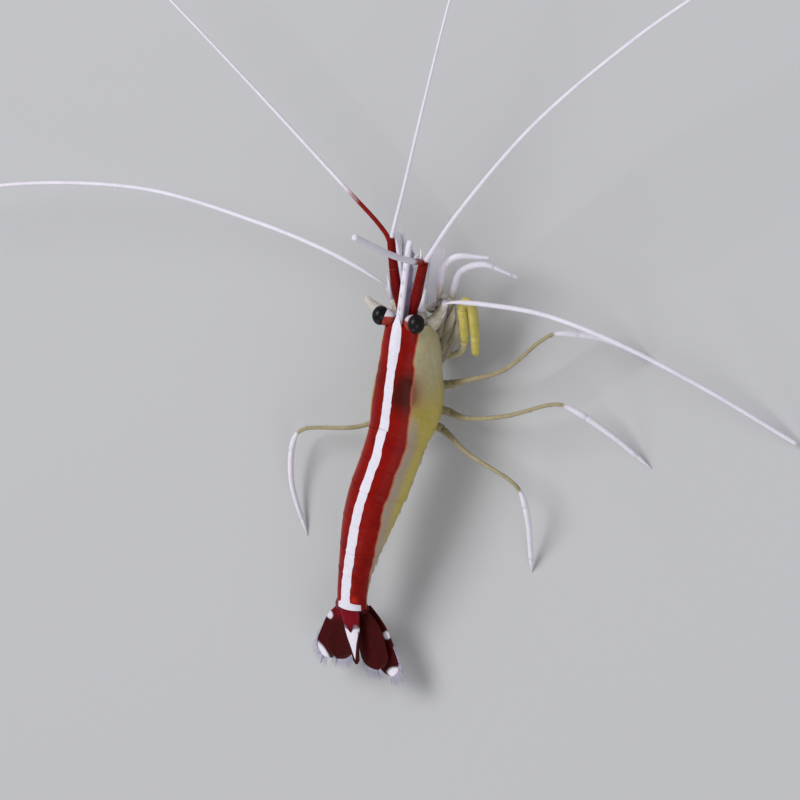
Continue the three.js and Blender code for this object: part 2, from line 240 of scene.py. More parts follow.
def profile(*parts):
    """A thickness in parts. Each is (share where it ends, size at its start, size at its end)."""
    def size(t):
        start = 0.0
        for end, first, last in parts:
            if t < end or end == 1.0:
                return blend(first, last, (t - start) / (end - start))
            start = end
    return size


FLARE_REACH = 0.025


def pinch(t, joints, depth=0.3, flare=0.14):
    """How a limb's thickness changes at its joints: wider just before one, narrow in it."""
    for joint in joints:
        if abs(t - joint) < 1e-6:
            return 1 - depth
        if 0 < joint - t < FLARE_REACH:
            return 1 + flare * smooth(1 - (joint - t) / FLARE_REACH)
    return 1.0


def paint(bm, name, value):
    """Marks every vertex of a mesh. value is a number, or a function of the vertex's spot."""
    layer = layer_of(bm, name)
    for vert in bm.verts:
        vert[layer] = at(value, vert.co)


# %% [markdown]
# Spines and bristles are thin cones; knobs and lobes are balls. A bristle also gets a patch of
# its own on its plate's flat map, so that a whole fringe can be baked.

# %% Spines, bristles and balls
BAKE_MAP, PATCH = "OFBake", 0.003


def spike(bm, spot, heading, length, radius, sides=4, tone=None, patch=None):
    """A small cone that stands on a spot: a spine or a bristle. patch is its place on a flat map."""
    unwrap = (bm.loops.layers.uv.get(BAKE_MAP) or bm.loops.layers.uv.new(BAKE_MAP)) if patch else None
    layer = None if tone is None else layer_of(bm, "tone")
    way = Vector(heading)
    turn = way.to_track_quat("Z", "Y").to_matrix().to_4x4()
    base = Matrix.Translation(Vector(spot) + way.normalized() * length / 2) @ turn
    made = bmesh.ops.create_cone(bm, cap_ends=True, segments=sides, radius1=radius,
                                 radius2=radius * 0.12, depth=length, matrix=base)
    if layer:
        for vert in made["verts"]:
            vert[layer] = tone
    if patch:
        flatten = base.inverted()
        for face in {face for vert in made["verts"] for face in vert.link_faces}:
            for corner in face.loops:
                own = flatten @ corner.vert.co
                corner[unwrap].uv = (patch[0] + PATCH / 2 * own.x / radius,
                                     patch[1] + PATCH * own.z / length)


def ball(bm, matrix, radius=1.0, around=32, down=20, tone=0.0):
    layer = layer_of(bm, "tone")
    made = bmesh.ops.create_uvsphere(bm, u_segments=around, v_segments=down, radius=radius, matrix=matrix)
    for vert in made["verts"]:
        vert[layer] = tone


# %% [markdown]
# ## Camera
# The animal is seen from above its right shoulder, head up in the picture. Its camera goes in
# first, so that each piece can be judged from there as soon as it is made.

# %% The camera above the right shoulder
NOSE_UP = math.radians(14.0)
TO_ITS_RIGHT = math.radians(30.0)
PICTURE_TURN = math.radians(6.5)
CAMERA_DISTANCE = 450.0
FOCUS = Vector((0, 0.6, 12.4))
FOCUS_ACROSS, FOCUS_ABOVE = -0.18, 9.70
LENS = 170.1

towards = Vector((math.cos(NOSE_UP) * math.sin(TO_ITS_RIGHT), math.sin(NOSE_UP),
                  math.cos(NOSE_UP) * math.cos(TO_ITS_RIGHT)))
level = Vector((math.cos(TO_ITS_RIGHT), 0, -math.sin(TO_ITS_RIGHT)))
steep = towards.cross(level)
picture_right = level * math.cos(PICTURE_TURN) + steep * math.sin(PICTURE_TURN)
picture_up = steep * math.cos(PICTURE_TURN) - level * math.sin(PICTURE_TURN)
eye_point = (FOCUS + towards * CAMERA_DISTANCE - picture_right * FOCUS_ACROSS
             - picture_up * FOCUS_ABOVE)

lens = bpy.data.cameras.new("camera")
lens.lens = LENS
lens.clip_start, lens.clip_end = 0.01, 10
camera = put_in_scene("camera", lens)
camera.matrix_world = Matrix((picture_right, picture_up, towards)).transposed().to_4x4()
camera.location = (eye_point + SHIFT) * MM
bpy.context.scene.camera = camera
print("camera at", [round(step, 4) for step in camera.location])

# %% [markdown]
# ## Materials
# Shrimp shell is thin, smooth and slightly see-through, with colour cells just under it. Its
# colour is never even: the cells cluster, so each colour gets a fine and a coarse mottle. The
# red, white and yellow fields are set by attributes that each mesh carries, and a little
# noise makes their edges ragged, as real ones are. Three groups hold what the materials
# share: the mottle, the ragged edge and the fine pits of the shell.

# %% Node helpers
SOFT = "SMOOTHSTEP"


def fill(tree, node, inputs):
    """Sets each input of a node, or links it where its value is another node's socket."""
    for name, value in inputs.items():
        if isinstance(value, bpy.types.NodeSocket):
            tree.links.new(value, node.inputs[name])
        else:
            node.inputs[name].default_value = value


def add_node(tree, kind, inputs=None, **settings):
    made = tree.nodes.new("ShaderNode" + kind)
    for name, value in settings.items():
        setattr(made, name, value)
    fill(tree, made, inputs or {})
    return made


def use_group(tree, group, **inputs):
    """The output of a group. An input's name is written with a low line for its space."""
    named = {label.replace("_", " "): value for label, value in inputs.items()}
    return add_node(tree, "Group", named, node_tree=group).outputs[0]


def maths(tree, operation, a, b, **settings):
    return add_node(tree, "Math", {0: a, 1: b}, operation=operation, **settings).outputs[0]


def ramp(tree, value, low, high, kind="LINEAR"):
    """Rises from 0 at the low value to 1 at the high one."""
    return add_node(tree, "MapRange", {"Value": value, "From Min": low, "From Max": high},
                    interpolation_type=kind).outputs[0]


def noise(tree, scale, detail):
    place = add_node(tree, "TexCoord").outputs["Object"]
    return add_node(tree, "TexNoise", {"Vector": place, "Scale": scale, "Detail": detail}).outputs["Fac"]


def mixed(tree, share, a, b):
    """The colour between a and b."""
    a, b = [(*colour, 1) if isinstance(colour, tuple) else colour for colour in (a, b)]
    return add_node(tree, "Mix", {0: share, 6: a, 7: b}, data_type="RGBA").outputs[2]


def new_group(name, output, **inputs):
    """A group of numbers: its tree, its inputs by name, and the input of its output node."""
    tree = bpy.data.node_groups.new(name, "ShaderNodeTree")
    for label, value in inputs.items():
        socket = tree.interface.new_socket(label.replace("_", " "), in_out="INPUT",
                                           socket_type="NodeSocketFloat")
        socket.default_value = value
    tree.interface.new_socket(output, in_out="OUTPUT", socket_type="NodeSocketFloat")
    return tree, tree.nodes.new("NodeGroupInput").outputs, tree.nodes.new("NodeGroupOutput").inputs[0]


# %% Group: mottle of the colour cells
mottle_group, given, out = new_group("Colour cells", "Value", Fine_scale=2600.0, Coarse_scale=500.0,
                                     Coarse_share=0.5)
both = add_node(mottle_group, "Mix", {0: given["Coarse share"],
                                      2: noise(mottle_group, given["Fine scale"], 3.0),
                                      3: noise(mottle_group, given["Coarse scale"], 2.0)},
                data_type="FLOAT")
mottle_group.links.new(ramp(mottle_group, both.outputs[0], 0.3, 0.7), out)

# %% Group: ragged edge of a colour field
edge_group, given, out = new_group("Ragged edge", "Past", Distance=0.0, Softness=0.08, Raggedness=0.12,
                                   Scale=1500.0)
centred = maths(edge_group, "SUBTRACT", noise(edge_group, given["Scale"], 2.0), 0.5)
wander = maths(edge_group, "MULTIPLY", centred, given["Raggedness"])
moved = maths(edge_group, "ADD", given["Distance"], wander)
low = maths(edge_group, "MULTIPLY", given["Softness"], -1.0)
edge_group.links.new(ramp(edge_group, moved, low, given["Softness"], SOFT), out)

# %% Group: pits and grain of the shell, as a height
pits_group, given, out = new_group("Shell pits", "Height", Pit_scale=2400.0, Pit_depth=0.5, Grain=0.3)
place = add_node(pits_group, "TexCoord").outputs["Object"]
cells = add_node(pits_group, "TexVoronoi", {"Vector": place, "Scale": given["Pit scale"]})
pit = ramp(pits_group, cells.outputs["Distance"], 0.0, 0.35)
deep = maths(pits_group, "MULTIPLY", pit, given["Pit depth"])
rough = maths(pits_group, "MULTIPLY", noise(pits_group, 1400.0, 4.0), given["Grain"])
pits_group.links.new(maths(pits_group, "ADD", deep, rough), out)

# %% [markdown]
# All finishes share one start: a Principled shader with the shell's pits as a bump, its
# gloss, and the soft glow of light inside it. Only the colours differ, so they come last.

# %% Start of every shell finish
PIT_BUMP = 0.00004
GLOW_DEPTH = 0.0006


def shell_finish(name, glow, roughness=0.42, glow_colour=(0.9, 0.35, 0.2), coat=0.04,
                 gloss=0.15, pits=(2400.0, 0.5, 0.3), bump_strength=0.35, clear=1.0):
    """pits holds the pits' scale and depth and the grain. The shader's colour is left to link."""
    material = bpy.data.materials.new(name)
    material.use_nodes = True
    tree = material.node_tree
    shader = tree.nodes["Principled BSDF"]
    scale, depth, grain = pits
    height = use_group(tree, pits_group, Pit_scale=scale, Pit_depth=depth, Grain=grain)
    relief = add_node(tree, "Bump", {"Height": height, "Distance": PIT_BUMP, "Strength": bump_strength})
    fill(tree, shader, {"Roughness": roughness, "IOR": 1.5, "Specular IOR Level": gloss,
                        "Coat Weight": coat, "Coat Roughness": 0.12, "Alpha": clear,
                        "Subsurface Weight": glow, "Subsurface Radius": glow_colour,
                        "Subsurface Scale": GLOW_DEPTH, "Normal": relief.outputs[0]})
    return material, tree, shader.inputs


def attribute(tree, name):
    return add_node(tree, "Attribute", attribute_name=name).outputs["Fac"]


def cells_between(tree, a, b, fine=2600.0, coarse=500.0, share=0.5):
    """A colour that wanders between a and b as the colour cells do."""
    return mixed(tree, use_group(tree, mottle_group, Fine_scale=fine, Coarse_scale=coarse,
                                 Coarse_share=share), a, b)


def past_edge(tree, distance, softness, ragged, scale):
    return use_group(tree, edge_group, Distance=distance, Softness=softness, Raggedness=ragged, Scale=scale)


# %% Colours
RED_DEEP, RED_BRIGHT = (0.15, 0.001, 0.0005), (0.265, 0.004, 0.0008)
RED_EDGE = (0.46, 0.11, 0.05)
RED_GLOW = (0.45, 0.018, 0.004)
WHITE, WHITE_SHADE = (0.76, 0.73, 0.80), (0.66, 0.62, 0.71)
WHITES = (WHITE_SHADE, WHITE)
YELLOW, YELLOW_PALE = (0.40, 0.31, 0.055), (0.50, 0.42, 0.13)
GREEN_GREY, GREEN_PALE = (0.39, 0.345, 0.20), (0.50, 0.44, 0.28)
GREY_SKIN = (0.36, 0.285, 0.215)
CRIMSON = (0.165, 0.001, 0.008)
INNER_DARK, LIVER_BROWN = (0.045, 0.005, 0.002), (0.19, 0.055, 0.035)
CLEAR_TINT, CLEAR_PALE = (0.44, 0.40, 0.36), (0.60, 0.56, 0.55)
LAVENDER, LAVENDER_PALE = (0.25, 0.22, 0.42), (0.40, 0.37, 0.60)
PLATE_TINT, PLATE_PALE = (0.44, 0.40, 0.52), (0.56, 0.52, 0.64)
STALK_RED, STALK_PINK = (0.24, 0.012, 0.006), (0.34, 0.05, 0.03)
TAIL_DEEP, TAIL_RED = (0.024, 0.001, 0.001), (0.058, 0.002, 0.002)

# %% [markdown]
# ### The banded shell
# On the trunk the attribute "stripe" is the distance past the white stripe's edge, "band" the
# distance past the red band's edge and "back" the distance behind the eyes, in millimetres.
# "rim" rises at a plate's free edge, where the shell is thin and pale, "inner" where the
# dark liver shows through, and "hot" in a bright red spot by the stripe's foot.

# %% Finish: banded shell
banded, tree, sockets = shell_finish("Banded shell", roughness=0.38, glow=0.10, gloss=0.09, coat=0.03)
red = cells_between(tree, RED_DEEP, RED_BRIGHT, 1700.0, 330.0, 0.6)
yellow = cells_between(tree, YELLOW, YELLOW_PALE, 1900.0, 260.0, 0.55)
green = cells_between(tree, GREEN_GREY, GREEN_PALE, 1500.0, 240.0, 0.5)
white = cells_between(tree, *WHITES, 2600.0, 420.0, 0.35)
back, band, inner = [attribute(tree, name) for name in ("back", "band", "inner")]
red = mixed(tree, attribute(tree, "hot"), red, RED_GLOW)
red = mixed(tree, inner, red, INNER_DARK)
flank = mixed(tree, ramp(tree, back, 5.0, 11.0, SOFT), green, yellow)
grey_strip = maths(tree, "SUBTRACT", ramp(tree, back, 10.0, 14.0, SOFT),
                   ramp(tree, band, 0.7, 2.2, SOFT), use_clamp=True)
flank = mixed(tree, grey_strip, flank, GREY_SKIN)
flank = mixed(tree, inner, flank, LIVER_BROWN)
halo = mixed(tree, past_edge(tree, band, 0.14, 0.16, 900.0), red, RED_EDGE)
halo_end = maths(tree, "ADD", band, -0.16)
field = mixed(tree, past_edge(tree, halo_end, 0.16, 0.2, 900.0), halo, flank)
striped = mixed(tree, past_edge(tree, attribute(tree, "stripe"), 0.03, 0.09, 1600.0), white, field)
tree.links.new(mixed(tree, attribute(tree, "rim"), striped, RED_EDGE), sockets["Base Color"])

# %% [markdown]
# ### White, red and yellow limbs
# Feelers, stems and legs share one recipe: "tone" runs from 0 to 1 along the limb, and picks
# between a root colour and a tip colour with a ragged border. The legs' shafts are beige,
# their far parts white. "hot" turns a root crimson, as it is at the tail.

# %% Finish: limbs with two colours
def two_toned(name, near, far, glow=0.2, seen=None, **finish):
    """seen gives the opacity where the tone is 0 and where it is 1."""
    material, tree, sockets = shell_finish(name, glow=glow, **finish)
    near_cells = mixed(tree, attribute(tree, "hot"), cells_between(tree, *near), CRIMSON)
    tone = maths(tree, "ADD", attribute(tree, "tone"), -0.5)
    share = past_edge(tree, tone, 0.4, 0.35, 1200.0)
    tree.links.new(mixed(tree, share, near_cells, cells_between(tree, *far)), sockets["Base Color"])
    if seen:
        opacity = add_node(tree, "MapRange", {"Value": attribute(tree, "tone"), "To Min": seen[0],
                                              "To Max": seen[1]})
        tree.links.new(opacity.outputs[0], sockets["Alpha"])
    return material


CARPUS_BEIGE, CARPUS_PALE = (0.25, 0.21, 0.12), (0.37, 0.32, 0.20)
BRIGHT_YELLOW, LEMON = (0.42, 0.35, 0.07), (0.60, 0.53, 0.16)
FLARE_PINK, FLARE_PALE = (0.40, 0.10, 0.08), (0.55, 0.26, 0.22)
STEM_DEEP, STEM_RED = (0.09, 0.001, 0.0005), (0.19, 0.003, 0.001)
LEAF_BROWN, LEAF_PALE = (0.27, 0.225, 0.15), (0.40, 0.35, 0.25)
ROSY, STRAW = (0.9, 0.7, 0.7), (0.8, 0.7, 0.3)
feeler_white = two_toned("Feeler", (RED_DEEP, RED_BRIGHT), WHITES, glow_colour=ROSY)
walking_leg = two_toned("Walking leg", (CARPUS_BEIGE, CARPUS_PALE), WHITES, glow=0.3,
                        glow_colour=(0.9, 0.7, 0.5))
yellow_leg = two_toned("Yellow leg", (GREEN_GREY, GREEN_PALE), (BRIGHT_YELLOW, LEMON), glow=0.3,
                       glow_colour=STRAW)
hook_white = two_toned("White hooks", (GREEN_GREY, CLEAR_PALE), WHITES, glow=0.3, glow_colour=ROSY)
stem_red = two_toned("Stem", (STEM_DEEP, STEM_RED), (FLARE_PINK, FLARE_PALE), glow=0.10, gloss=0.09)
stalk_skin = two_toned("Eye stalk", (STALK_RED, STALK_PINK), (CLEAR_PALE, WHITE_SHADE), glow=0.25)
rostrum_white = two_toned("Rostrum", (LAVENDER, LAVENDER_PALE), WHITES, glow=0.3,
                          glow_colour=(0.8, 0.7, 0.9))
keel_clear = two_toned("Rostrum keel", (LAVENDER, LAVENDER_PALE), (FLARE_PALE, WHITE_SHADE), clear=0.85)
tail_red = two_toned("Tail plate", (TAIL_DEEP, TAIL_RED), WHITES, glow=0.08, gloss=0.09)
flesh = two_toned("Under skin", (YELLOW, YELLOW_PALE), (GREEN_GREY, GREEN_PALE), glow=0.5,
                  glow_colour=(0.8, 0.6, 0.3), roughness=0.5, coat=0.0)

# %% Finish: clear plates and bristles
clear_plate = two_toned("Clear plate", (PLATE_TINT, PLATE_PALE), WHITES, glow=0.0, roughness=0.25,
                        bump_strength=0.1, seen=(0.10, 0.55))
leaf_skin = two_toned("Leaf", (LEAF_BROWN, LEAF_PALE), (CLEAR_TINT, CLEAR_PALE), clear=0.85,
                      glow_colour=(0.8, 0.7, 0.5))
bristle, tree, sockets = shell_finish("Bristles", roughness=0.4, glow=0.0, coat=0.0, clear=0.6)
tree.links.new(cells_between(tree, LAVENDER_PALE, WHITE), sockets["Base Color"])

# %% Finish: the eye's cornea, black, wet and finely faceted
EYE_BLACK, EYE_BROWN = (0.002, 0.002, 0.003), (0.010, 0.006, 0.005)
cornea, tree, sockets = shell_finish("Cornea", roughness=0.38, glow=0.0, coat=0.1, gloss=0.14,
                                     pits=(5200.0, 0.7, 0.0), bump_strength=0.25)
tree.links.new(cells_between(tree, EYE_BLACK, EYE_BROWN), sockets["Base Color"])
print("materials:", len(bpy.data.materials), "groups:", len(bpy.data.node_groups))

# %% [markdown]
# ## The trunk
# The carapace and the six somites follow one centre line. Each station says how far behind
# the eyes it lies, how far the trunk is shifted sideways there, the height of its middle,
# and its half width and half height. A shell plate is then a flat sheet wrapped round that
# form like paper, which keeps its edges free to be shaped as the animal's are.

# %% Stations of the trunk
MEASURES = ("back", "shift", "middle", "wide", "tall")
STATIONS = [dict(zip(MEASURES, row)) for row in (
    (-1, 0.0, 9.95, 2.45, 2.4), (1, 0.05, 9.75, 2.9, 2.85), (2, 0.1, 9.3, 3.3, 3.45),
    (4.5, 0.1, 8.6, 3.5, 4.3), (7, 0.1, 8.4, 3.85, 4.6), (9.5, 0.1, 8.15, 4.15, 4.85),
    (12, 0.05, 8.45, 4.05, 4.5), (14.3, -0.1, 9.1, 3.6, 3.75), (18.3, -1.0, 9.25, 3.35, 3.75),
    (22.5, -2.15, 9.2, 3.3, 3.65), (26.6, -3.1, 9.15, 3.0, 2.85), (30.9, -4.0, 8.7, 2.35, 2.2),
    (35.2, -4.7, 7.95, 1.95, 1.75), (37.8, -4.8, 7.5, 1.9, 1.5))]


def trunk_at(back, measure):
    """Smooth value of one measure of the trunk."""
    last = len(STATIONS) - 1
    i = 0
    while i < last - 1 and STATIONS[i + 1]["back"] < back:
        i += 1
    a, b = STATIONS[i], STATIONS[i + 1]
    before, after = STATIONS[max(i - 1, 0)], STATIONS[min(i + 2, last)]
    span = b["back"] - a["back"]
    t = min(max((back - a["back"]) / span, 0), 1)
    slope_a = (b[measure] - before[measure]) / (b["back"] - before["back"]) * span
    slope_b = (after[measure] - a[measure]) / (after["back"] - a["back"]) * span
    return ((2 * t**3 - 3 * t**2 + 1) * a[measure] + (t**3 - 2 * t**2 + t) * slope_a
            + (3 * t**2 - 2 * t**3) * b[measure] + (t**3 - t**2) * slope_b)


def trunk_slope(back, measure):
    """How much a measure changes in the millimetre round a place."""
    return trunk_at(back + 0.5, measure) - trunk_at(back - 0.5, measure)


def trunk_spot(back, turn, lift):
    """The trunk's surface at a distance back and a turn in degrees from the middle line of the back."""
    x, z = math.sin(math.radians(turn)), math.cos(math.radians(turn))
    if z < 0:
        x *= 1 - 0.06 * z * z
    sideways = x * (trunk_at(back, "wide") + lift)
    upward = z * (trunk_at(back, "tall") + lift)
    return Vector((trunk_at(back, "shift") + sideways,
                   -back + sideways * trunk_slope(back, "shift") + upward * trunk_slope(back, "middle"),
                   trunk_at(back, "middle") + upward))


def arc(back, turn):
    """Millimetres round the trunk from the middle line of the back."""
    return math.radians(turn) * (trunk_at(back, "wide") + trunk_at(back, "tall")) / 2


# %% [markdown]
# The stripe is about 1.3 mm wide and steps a little at each somite. The red bands reach 3 mm
# round from the middle line, a little less behind the eyes.

# %% Where the colours lie on the trunk
STRIPE_HALF = 0.62
BAND_REACH = 3.0
SHELL_THICK = 0.14
RIM_PALE = 0.16
CARAPACE_REAR = 14.6
SOMITE_REARS = [17.3, 20.9, 25.5, 29.2, 32.2, 37.4]


def stripe_past(back, turn, step):
    wander = 0.025 * math.sin(1.9 * back) + 0.02 * math.sin(4.3 * back + 1)
    head = 0.10 * bump(back, 2.0, 2.0) - 0.30 * (1 - smooth((back + 1.1) / 2.2))
    side = arc(back, turn) - step
    foot = (1.3 if side > 0 else 0.5) * smooth((back - 36.45) / 0.35)
    return abs(side) - (STRIPE_HALF + wander + head + foot)


def band_past(back, turn):
    front = 0.45 * (1 - smooth((back - 1.5) / 4.5))
    wander = 0.06 * math.sin(1.3 * back + 0.5) + 0.03 * math.sin(3.1 * back)
    return abs(arc(back, turn)) - (BAND_REACH - front + wander)


def wrap_plate(bm, along_steps, round_steps, shape, rim_at, step=0.0, inner=None):
    """Wraps a flat grid round the trunk. shape(u, v) gives (back, turn, lift)."""
    layers = {name: layer_of(bm, name) for name in ("stripe", "band", "back", "rim", "inner", "hot")}
    made = bmesh.ops.create_grid(bm, x_segments=along_steps, y_segments=round_steps, size=1)
    for vert in made["verts"]:
        u, v = (vert.co.x + 1) / 2, vert.co.y
        back, turn, lift = shape(u, v)
        past_red = band_past(back, turn)
        marks = {
            "stripe": stripe_past(back, turn, step * (1 - smooth((u - 0.3) / 0.5))),
            "band": past_red,
            "back": back,
            "rim": RIM_PALE * smooth((u - rim_at) / (1 - rim_at)) * smooth((past_red + 0.5) * 3),
            "inner": inner(back, turn) if inner else 0.0,
            "hot": bump(back, 36.0, 0.55) * bump(arc(back, turn), 1.15, 0.4),
        }
        for name, value in marks.items():
            vert[layers[name]] = value
        vert.co = trunk_spot(back, turn, lift)


# %% [markdown]
# ### Carapace
# The carapace is one piece of shell over head and thorax, open below where the legs come
# out. Its front edge has the eye's notch with a small antennal spine under it, and it runs
# forward on the middle line into the rostrum. Its rear edge is hollowed on the back.

# %% Carapace
ORBIT_TURN = 40.0
SPINE_TURN = 66.0


def carapace_front(turn):
    side = abs(turn)
    return (-1.3 * bump(side, 0, 8) + 0.5 * bump(side, ORBIT_TURN, 13)
            - 0.95 * bump(side, SPINE_TURN, 4.5) + 0.9 * smooth((side - 80) / 40))


def carapace_shape(u, v):
    turn_reach = 131 - 12 * bump(u, 0, 0.12) - 6 * bump(u, 1, 0.12)
    turn = turn_reach * v
    rear = CARAPACE_REAR - 0.65 * bump(turn, 0, 45) + 0.25 * bump(abs(turn), 100, 35)
    front = carapace_front(turn)
    back = front + (rear - front) * u
    crest = 0.22 * bump(arc(back, turn), 0, 0.75) * (1 - smooth((back - 1.5) / 5.5))
    groove = (0.10 * bump(abs(turn), 72 + 2.2 * back, 5) * bump(back, 5.5, 3.5)
              + 0.08 * bump(back, 5.4 + 0.02 * abs(turn), 0.5) * bump(abs(turn), 45, 30))
    edge = 0.08 * smooth((u - 0.97) / 0.03) + 0.05 * bump(u, 0, 0.015)
    tuck = 0.35 * smooth((abs(v) - 0.9) / 0.1)
    return back, turn, 0.05 + crest - groove + edge - tuck


def carapace_inner(back, turn):
    """The dark gut and liver that show through the shell on either side."""
    liver = min(1.0, 1.5 * bump(back, 8.2, 2.5) * bump(abs(arc(back, turn)), 2.3, 1.9))
    seen = 0.9 if turn > 0 else 0.3
    return seen * liver


bm = bmesh.new()
wrap_plate(bm, 150, 230, carapace_shape, rim_at=0.985, inner=carapace_inner)
settle(bm, "carapace_shell", banded, ["carapace"], thickness=SHELL_THICK)

# %% [markdown]
# ### Somites
# Each somite's shell slides under the one before it and over the one behind, so its front
# dips and its rear edge stands a little proud. Its sides hang down as rounded flaps. The
# second somite's flaps are broad and overlap both neighbours, the mark of this shrimp's kin.

# %% Somites
STRIPE_STEPS = [-0.26, -0.05, 0.04, -0.04, 0.03, 0.0]
FLAP_TURN, FLAP_DROP = 112.0, 26.0


def somite_shape(index):
    rear = SOMITE_REARS[index] + 0.12
    front = (SOMITE_REARS[index - 1] if index else CARAPACE_REAR) - 1.0
    last = index == 5
    saddle = 1.0 if index == 1 else 0.0

    def shape(u, v):
        side = abs(v)
        reach = FLAP_TURN + (10 if last else FLAP_DROP) * math.sin(math.pi * min(max(u, 0.02), 0.98)) ** 0.55
        turn = reach * v
        low = smooth((side - 0.55) / 0.4)
        ahead = front + 0.75 * low * (1 - saddle) - 0.9 * low * saddle
        behind = rear + (0.25 - 0.5 * low) * (not last) + 0.85 * low * saddle
        back = ahead + (behind - ahead) * u
        dip = 0.22 * (1 - smooth(u / 0.3)) * (1 - 0.8 * saddle * low)
        lip = 0.05 * smooth((u - 0.9) / 0.1)
        hinge = 0.02 * bump(u, 0.34, 0.03) * smooth(1.4 - side * 1.6)
        return back, turn, 0.02 + lip - dip - hinge + 0.12 * saddle * low

    return shape


for index, rear in enumerate(SOMITE_REARS):
    bm = bmesh.new()
    wrap_plate(bm, 60, 170, somite_shape(index), step=STRIPE_STEPS[index], rim_at=0.95)
    settle(bm, f"somite_{index + 1}_shell", banded, [f"abdomen_{index + 1}"],
           thickness=SHELL_THICK)

# %% [markdown]
# ### The body inside
# Below and between the plates shows soft skin. It is one closed tube a little inside the
# shell, grown along the same stations, so no gap opens anywhere.

# %% The body inside
SKIN_INSIDE, SKIN_SHARE = 0.3, 0.985


def trunk_ring(back, squeeze):
    """The matrix of a ring of the trunk, inset from its surface."""
    bend, lean = trunk_slope(back, "shift"), trunk_slope(back, "middle")
    wide = (trunk_at(back, "wide") * SKIN_SHARE - SKIN_INSIDE) * squeeze
    tall = (trunk_at(back, "tall") - SKIN_INSIDE) * squeeze
    return Matrix(((wide, 0, bend, trunk_at(back, "shift")),
                   (wide * bend, tall * lean, -1, -back),
                   (0, tall, lean, trunk_at(back, "middle")),
                   (0, 0, 0, 1)))


def skin_squeeze(back):
    return 0.35 + 0.65 * smooth((back - 0.9) / 1.1) * smooth((38.4 - back) / 1.2)


bm = bmesh.new()
backs = [1.3 + 0.45 * i for i in range(81)]
grow(bm, [trunk_ring(back, skin_squeeze(back)) for back in backs], 40,
     {"tone": [1 - smooth((back - 7) / 8) for back in backs],
      "hot": [smooth((back - 35) / 1.5) for back in backs]})
settle(bm, "body_skin", flesh)

# %% [markdown]
# ## The head
# ### Rostrum
# The rostrum is a blade with a thick white ridge along its top, saw teeth on the ridge and
# below, and a clear keel under it. The ridge starts as a low crest on the carapace.

# %% Rostrum ridge and teeth
ROSTRUM_TIP = 10.1
TEETH = 8


def ridge_half(t):
    root = blend(0.22, 0.44, t / 0.26)
    return root * (1 - 0.1 * smooth((t - 0.5) / 0.4)) * (1 - 0.3 * smooth((t - 0.975) / 0.025))


bm = bmesh.new()
ridge = tube(bm, [(0.1, -5.2, 12.52), (0.08, -2.4, 12.42), (0.05, 0.0, 12.28), (0.05, 4.0, 12.12),
                  (0.05, 8.0, 11.98), (0.05, ROSTRUM_TIP, 11.86)], stops(60), 16, ridge_half,
             lambda t: 0.36 * (1 - 0.6 * smooth((t - 0.94) / 0.06)), tone=1.0)
for i in range(TEETH):
    t = 0.13 + 0.105 * i
    spike(bm, ridge.spot(t) + UP * 0.2, ridge.heading(t) + UP * 0.32, 0.8 - 0.04 * i, 0.17,
          sides=8, tone=1.0)
settle(bm, "rostrum_ridge", rostrum_white, ["rostrum"])

# %% [markdown]
# The keel is a flat strip first, as saw blades are: its lower edge is cut into teeth, then it
# is given its thickness by extruding it, and softened with a bevel.

# %% Rostrum keel
KEEL_ROOT, KEEL_TIP, KEEL_TOP = -0.6, 9.85, 12.02
KEEL_LEFT, KEEL_THICK, KEEL_DEEP = -0.06, 0.22, 1.75
TOOTH_PITCH = 1.75


def keel_bottom(y):
    """Depth of the keel's lower edge, with teeth that point forward."""
    body = KEEL_DEEP * (1 - 0.5 * smooth((y - 1.5) / 8.0)) * (1 - smooth((y - 8.2) / 1.65)) + 0.12
    phase = ((y - 1.4) / TOOTH_PITCH) % 1.0
    tooth = 0.3 * phase**2 if 1.4 < y < 8.4 else 0.0
    return body + tooth


bm = bmesh.new()
keel_tone = layer_of(bm, "tone")
made = bmesh.ops.create_grid(bm, x_segments=72, y_segments=6, size=1)
for vert in made["verts"]:
    y = KEEL_ROOT + (KEEL_TIP - KEEL_ROOT) * (vert.co.x + 1) / 2
    deep = (1 - vert.co.y) / 2
    vert[keel_tone] = 0.8 * smooth((deep - 0.8) / 0.2)
    vert.co = (KEEL_LEFT, y, KEEL_TOP - 0.02 * y - keel_bottom(y) * deep)
grown = bmesh.ops.extrude_face_region(bm, geom=list(bm.faces))["geom"]
bmesh.ops.translate(bm, vec=(KEEL_THICK, 0, 0),
                    verts=[part for part in grown if isinstance(part, bmesh.types.BMVert)])
settle(bm, "rostrum_keel", keel_clear, bevel=0.05)

# %% [markdown]
# ### Eyes and stalks
# The eye is a black ball, half sunk in a short stalk. The stalk's skin closes round it as a
# collar, which is what makes an eye look seated and not stuck on.

# %% Eyes on their stalks
EYE_STRETCH = 1.12
stalk_half = profile((0.4, 0.5, 0.56), (0.9, 0.56, 0.93), (1.0, 0.93, 0.93))
for side, sign in SIDES:
    bm = bmesh.new()
    centre = Vector((sign * RIGHT_EYE.x, RIGHT_EYE.y, RIGHT_EYE.z))
    egg = Matrix.Translation(centre) @ Matrix.Diagonal((0.97, EYE_STRETCH, 1.0, 1))
    ball(bm, egg, EYE_RADIUS, 48, 32)
    settle(bm, f"cornea_{side}", cornea, [f"eye_{side}"])

    bm = bmesh.new()
    tube(bm, [(sign * 0.15, -0.6, 11.2), (sign * 0.9, -0.1, 11.7), (sign * 1.5, 0.25, 12.05),
              (sign * 2.0, 0.4, 12.25)], stops(24), 40, lambda t: stalk_half(t) * 0.97,
         lambda t: stalk_half(t) * EYE_STRETCH, up=AHEAD)
    paint(bm, "tone", lambda spot: 0.9 * smooth((spot.y - 0.45) / 0.35))
    settle(bm, f"eye_stalk_{side}", stalk_skin, [f"eyestalk_{side}"])
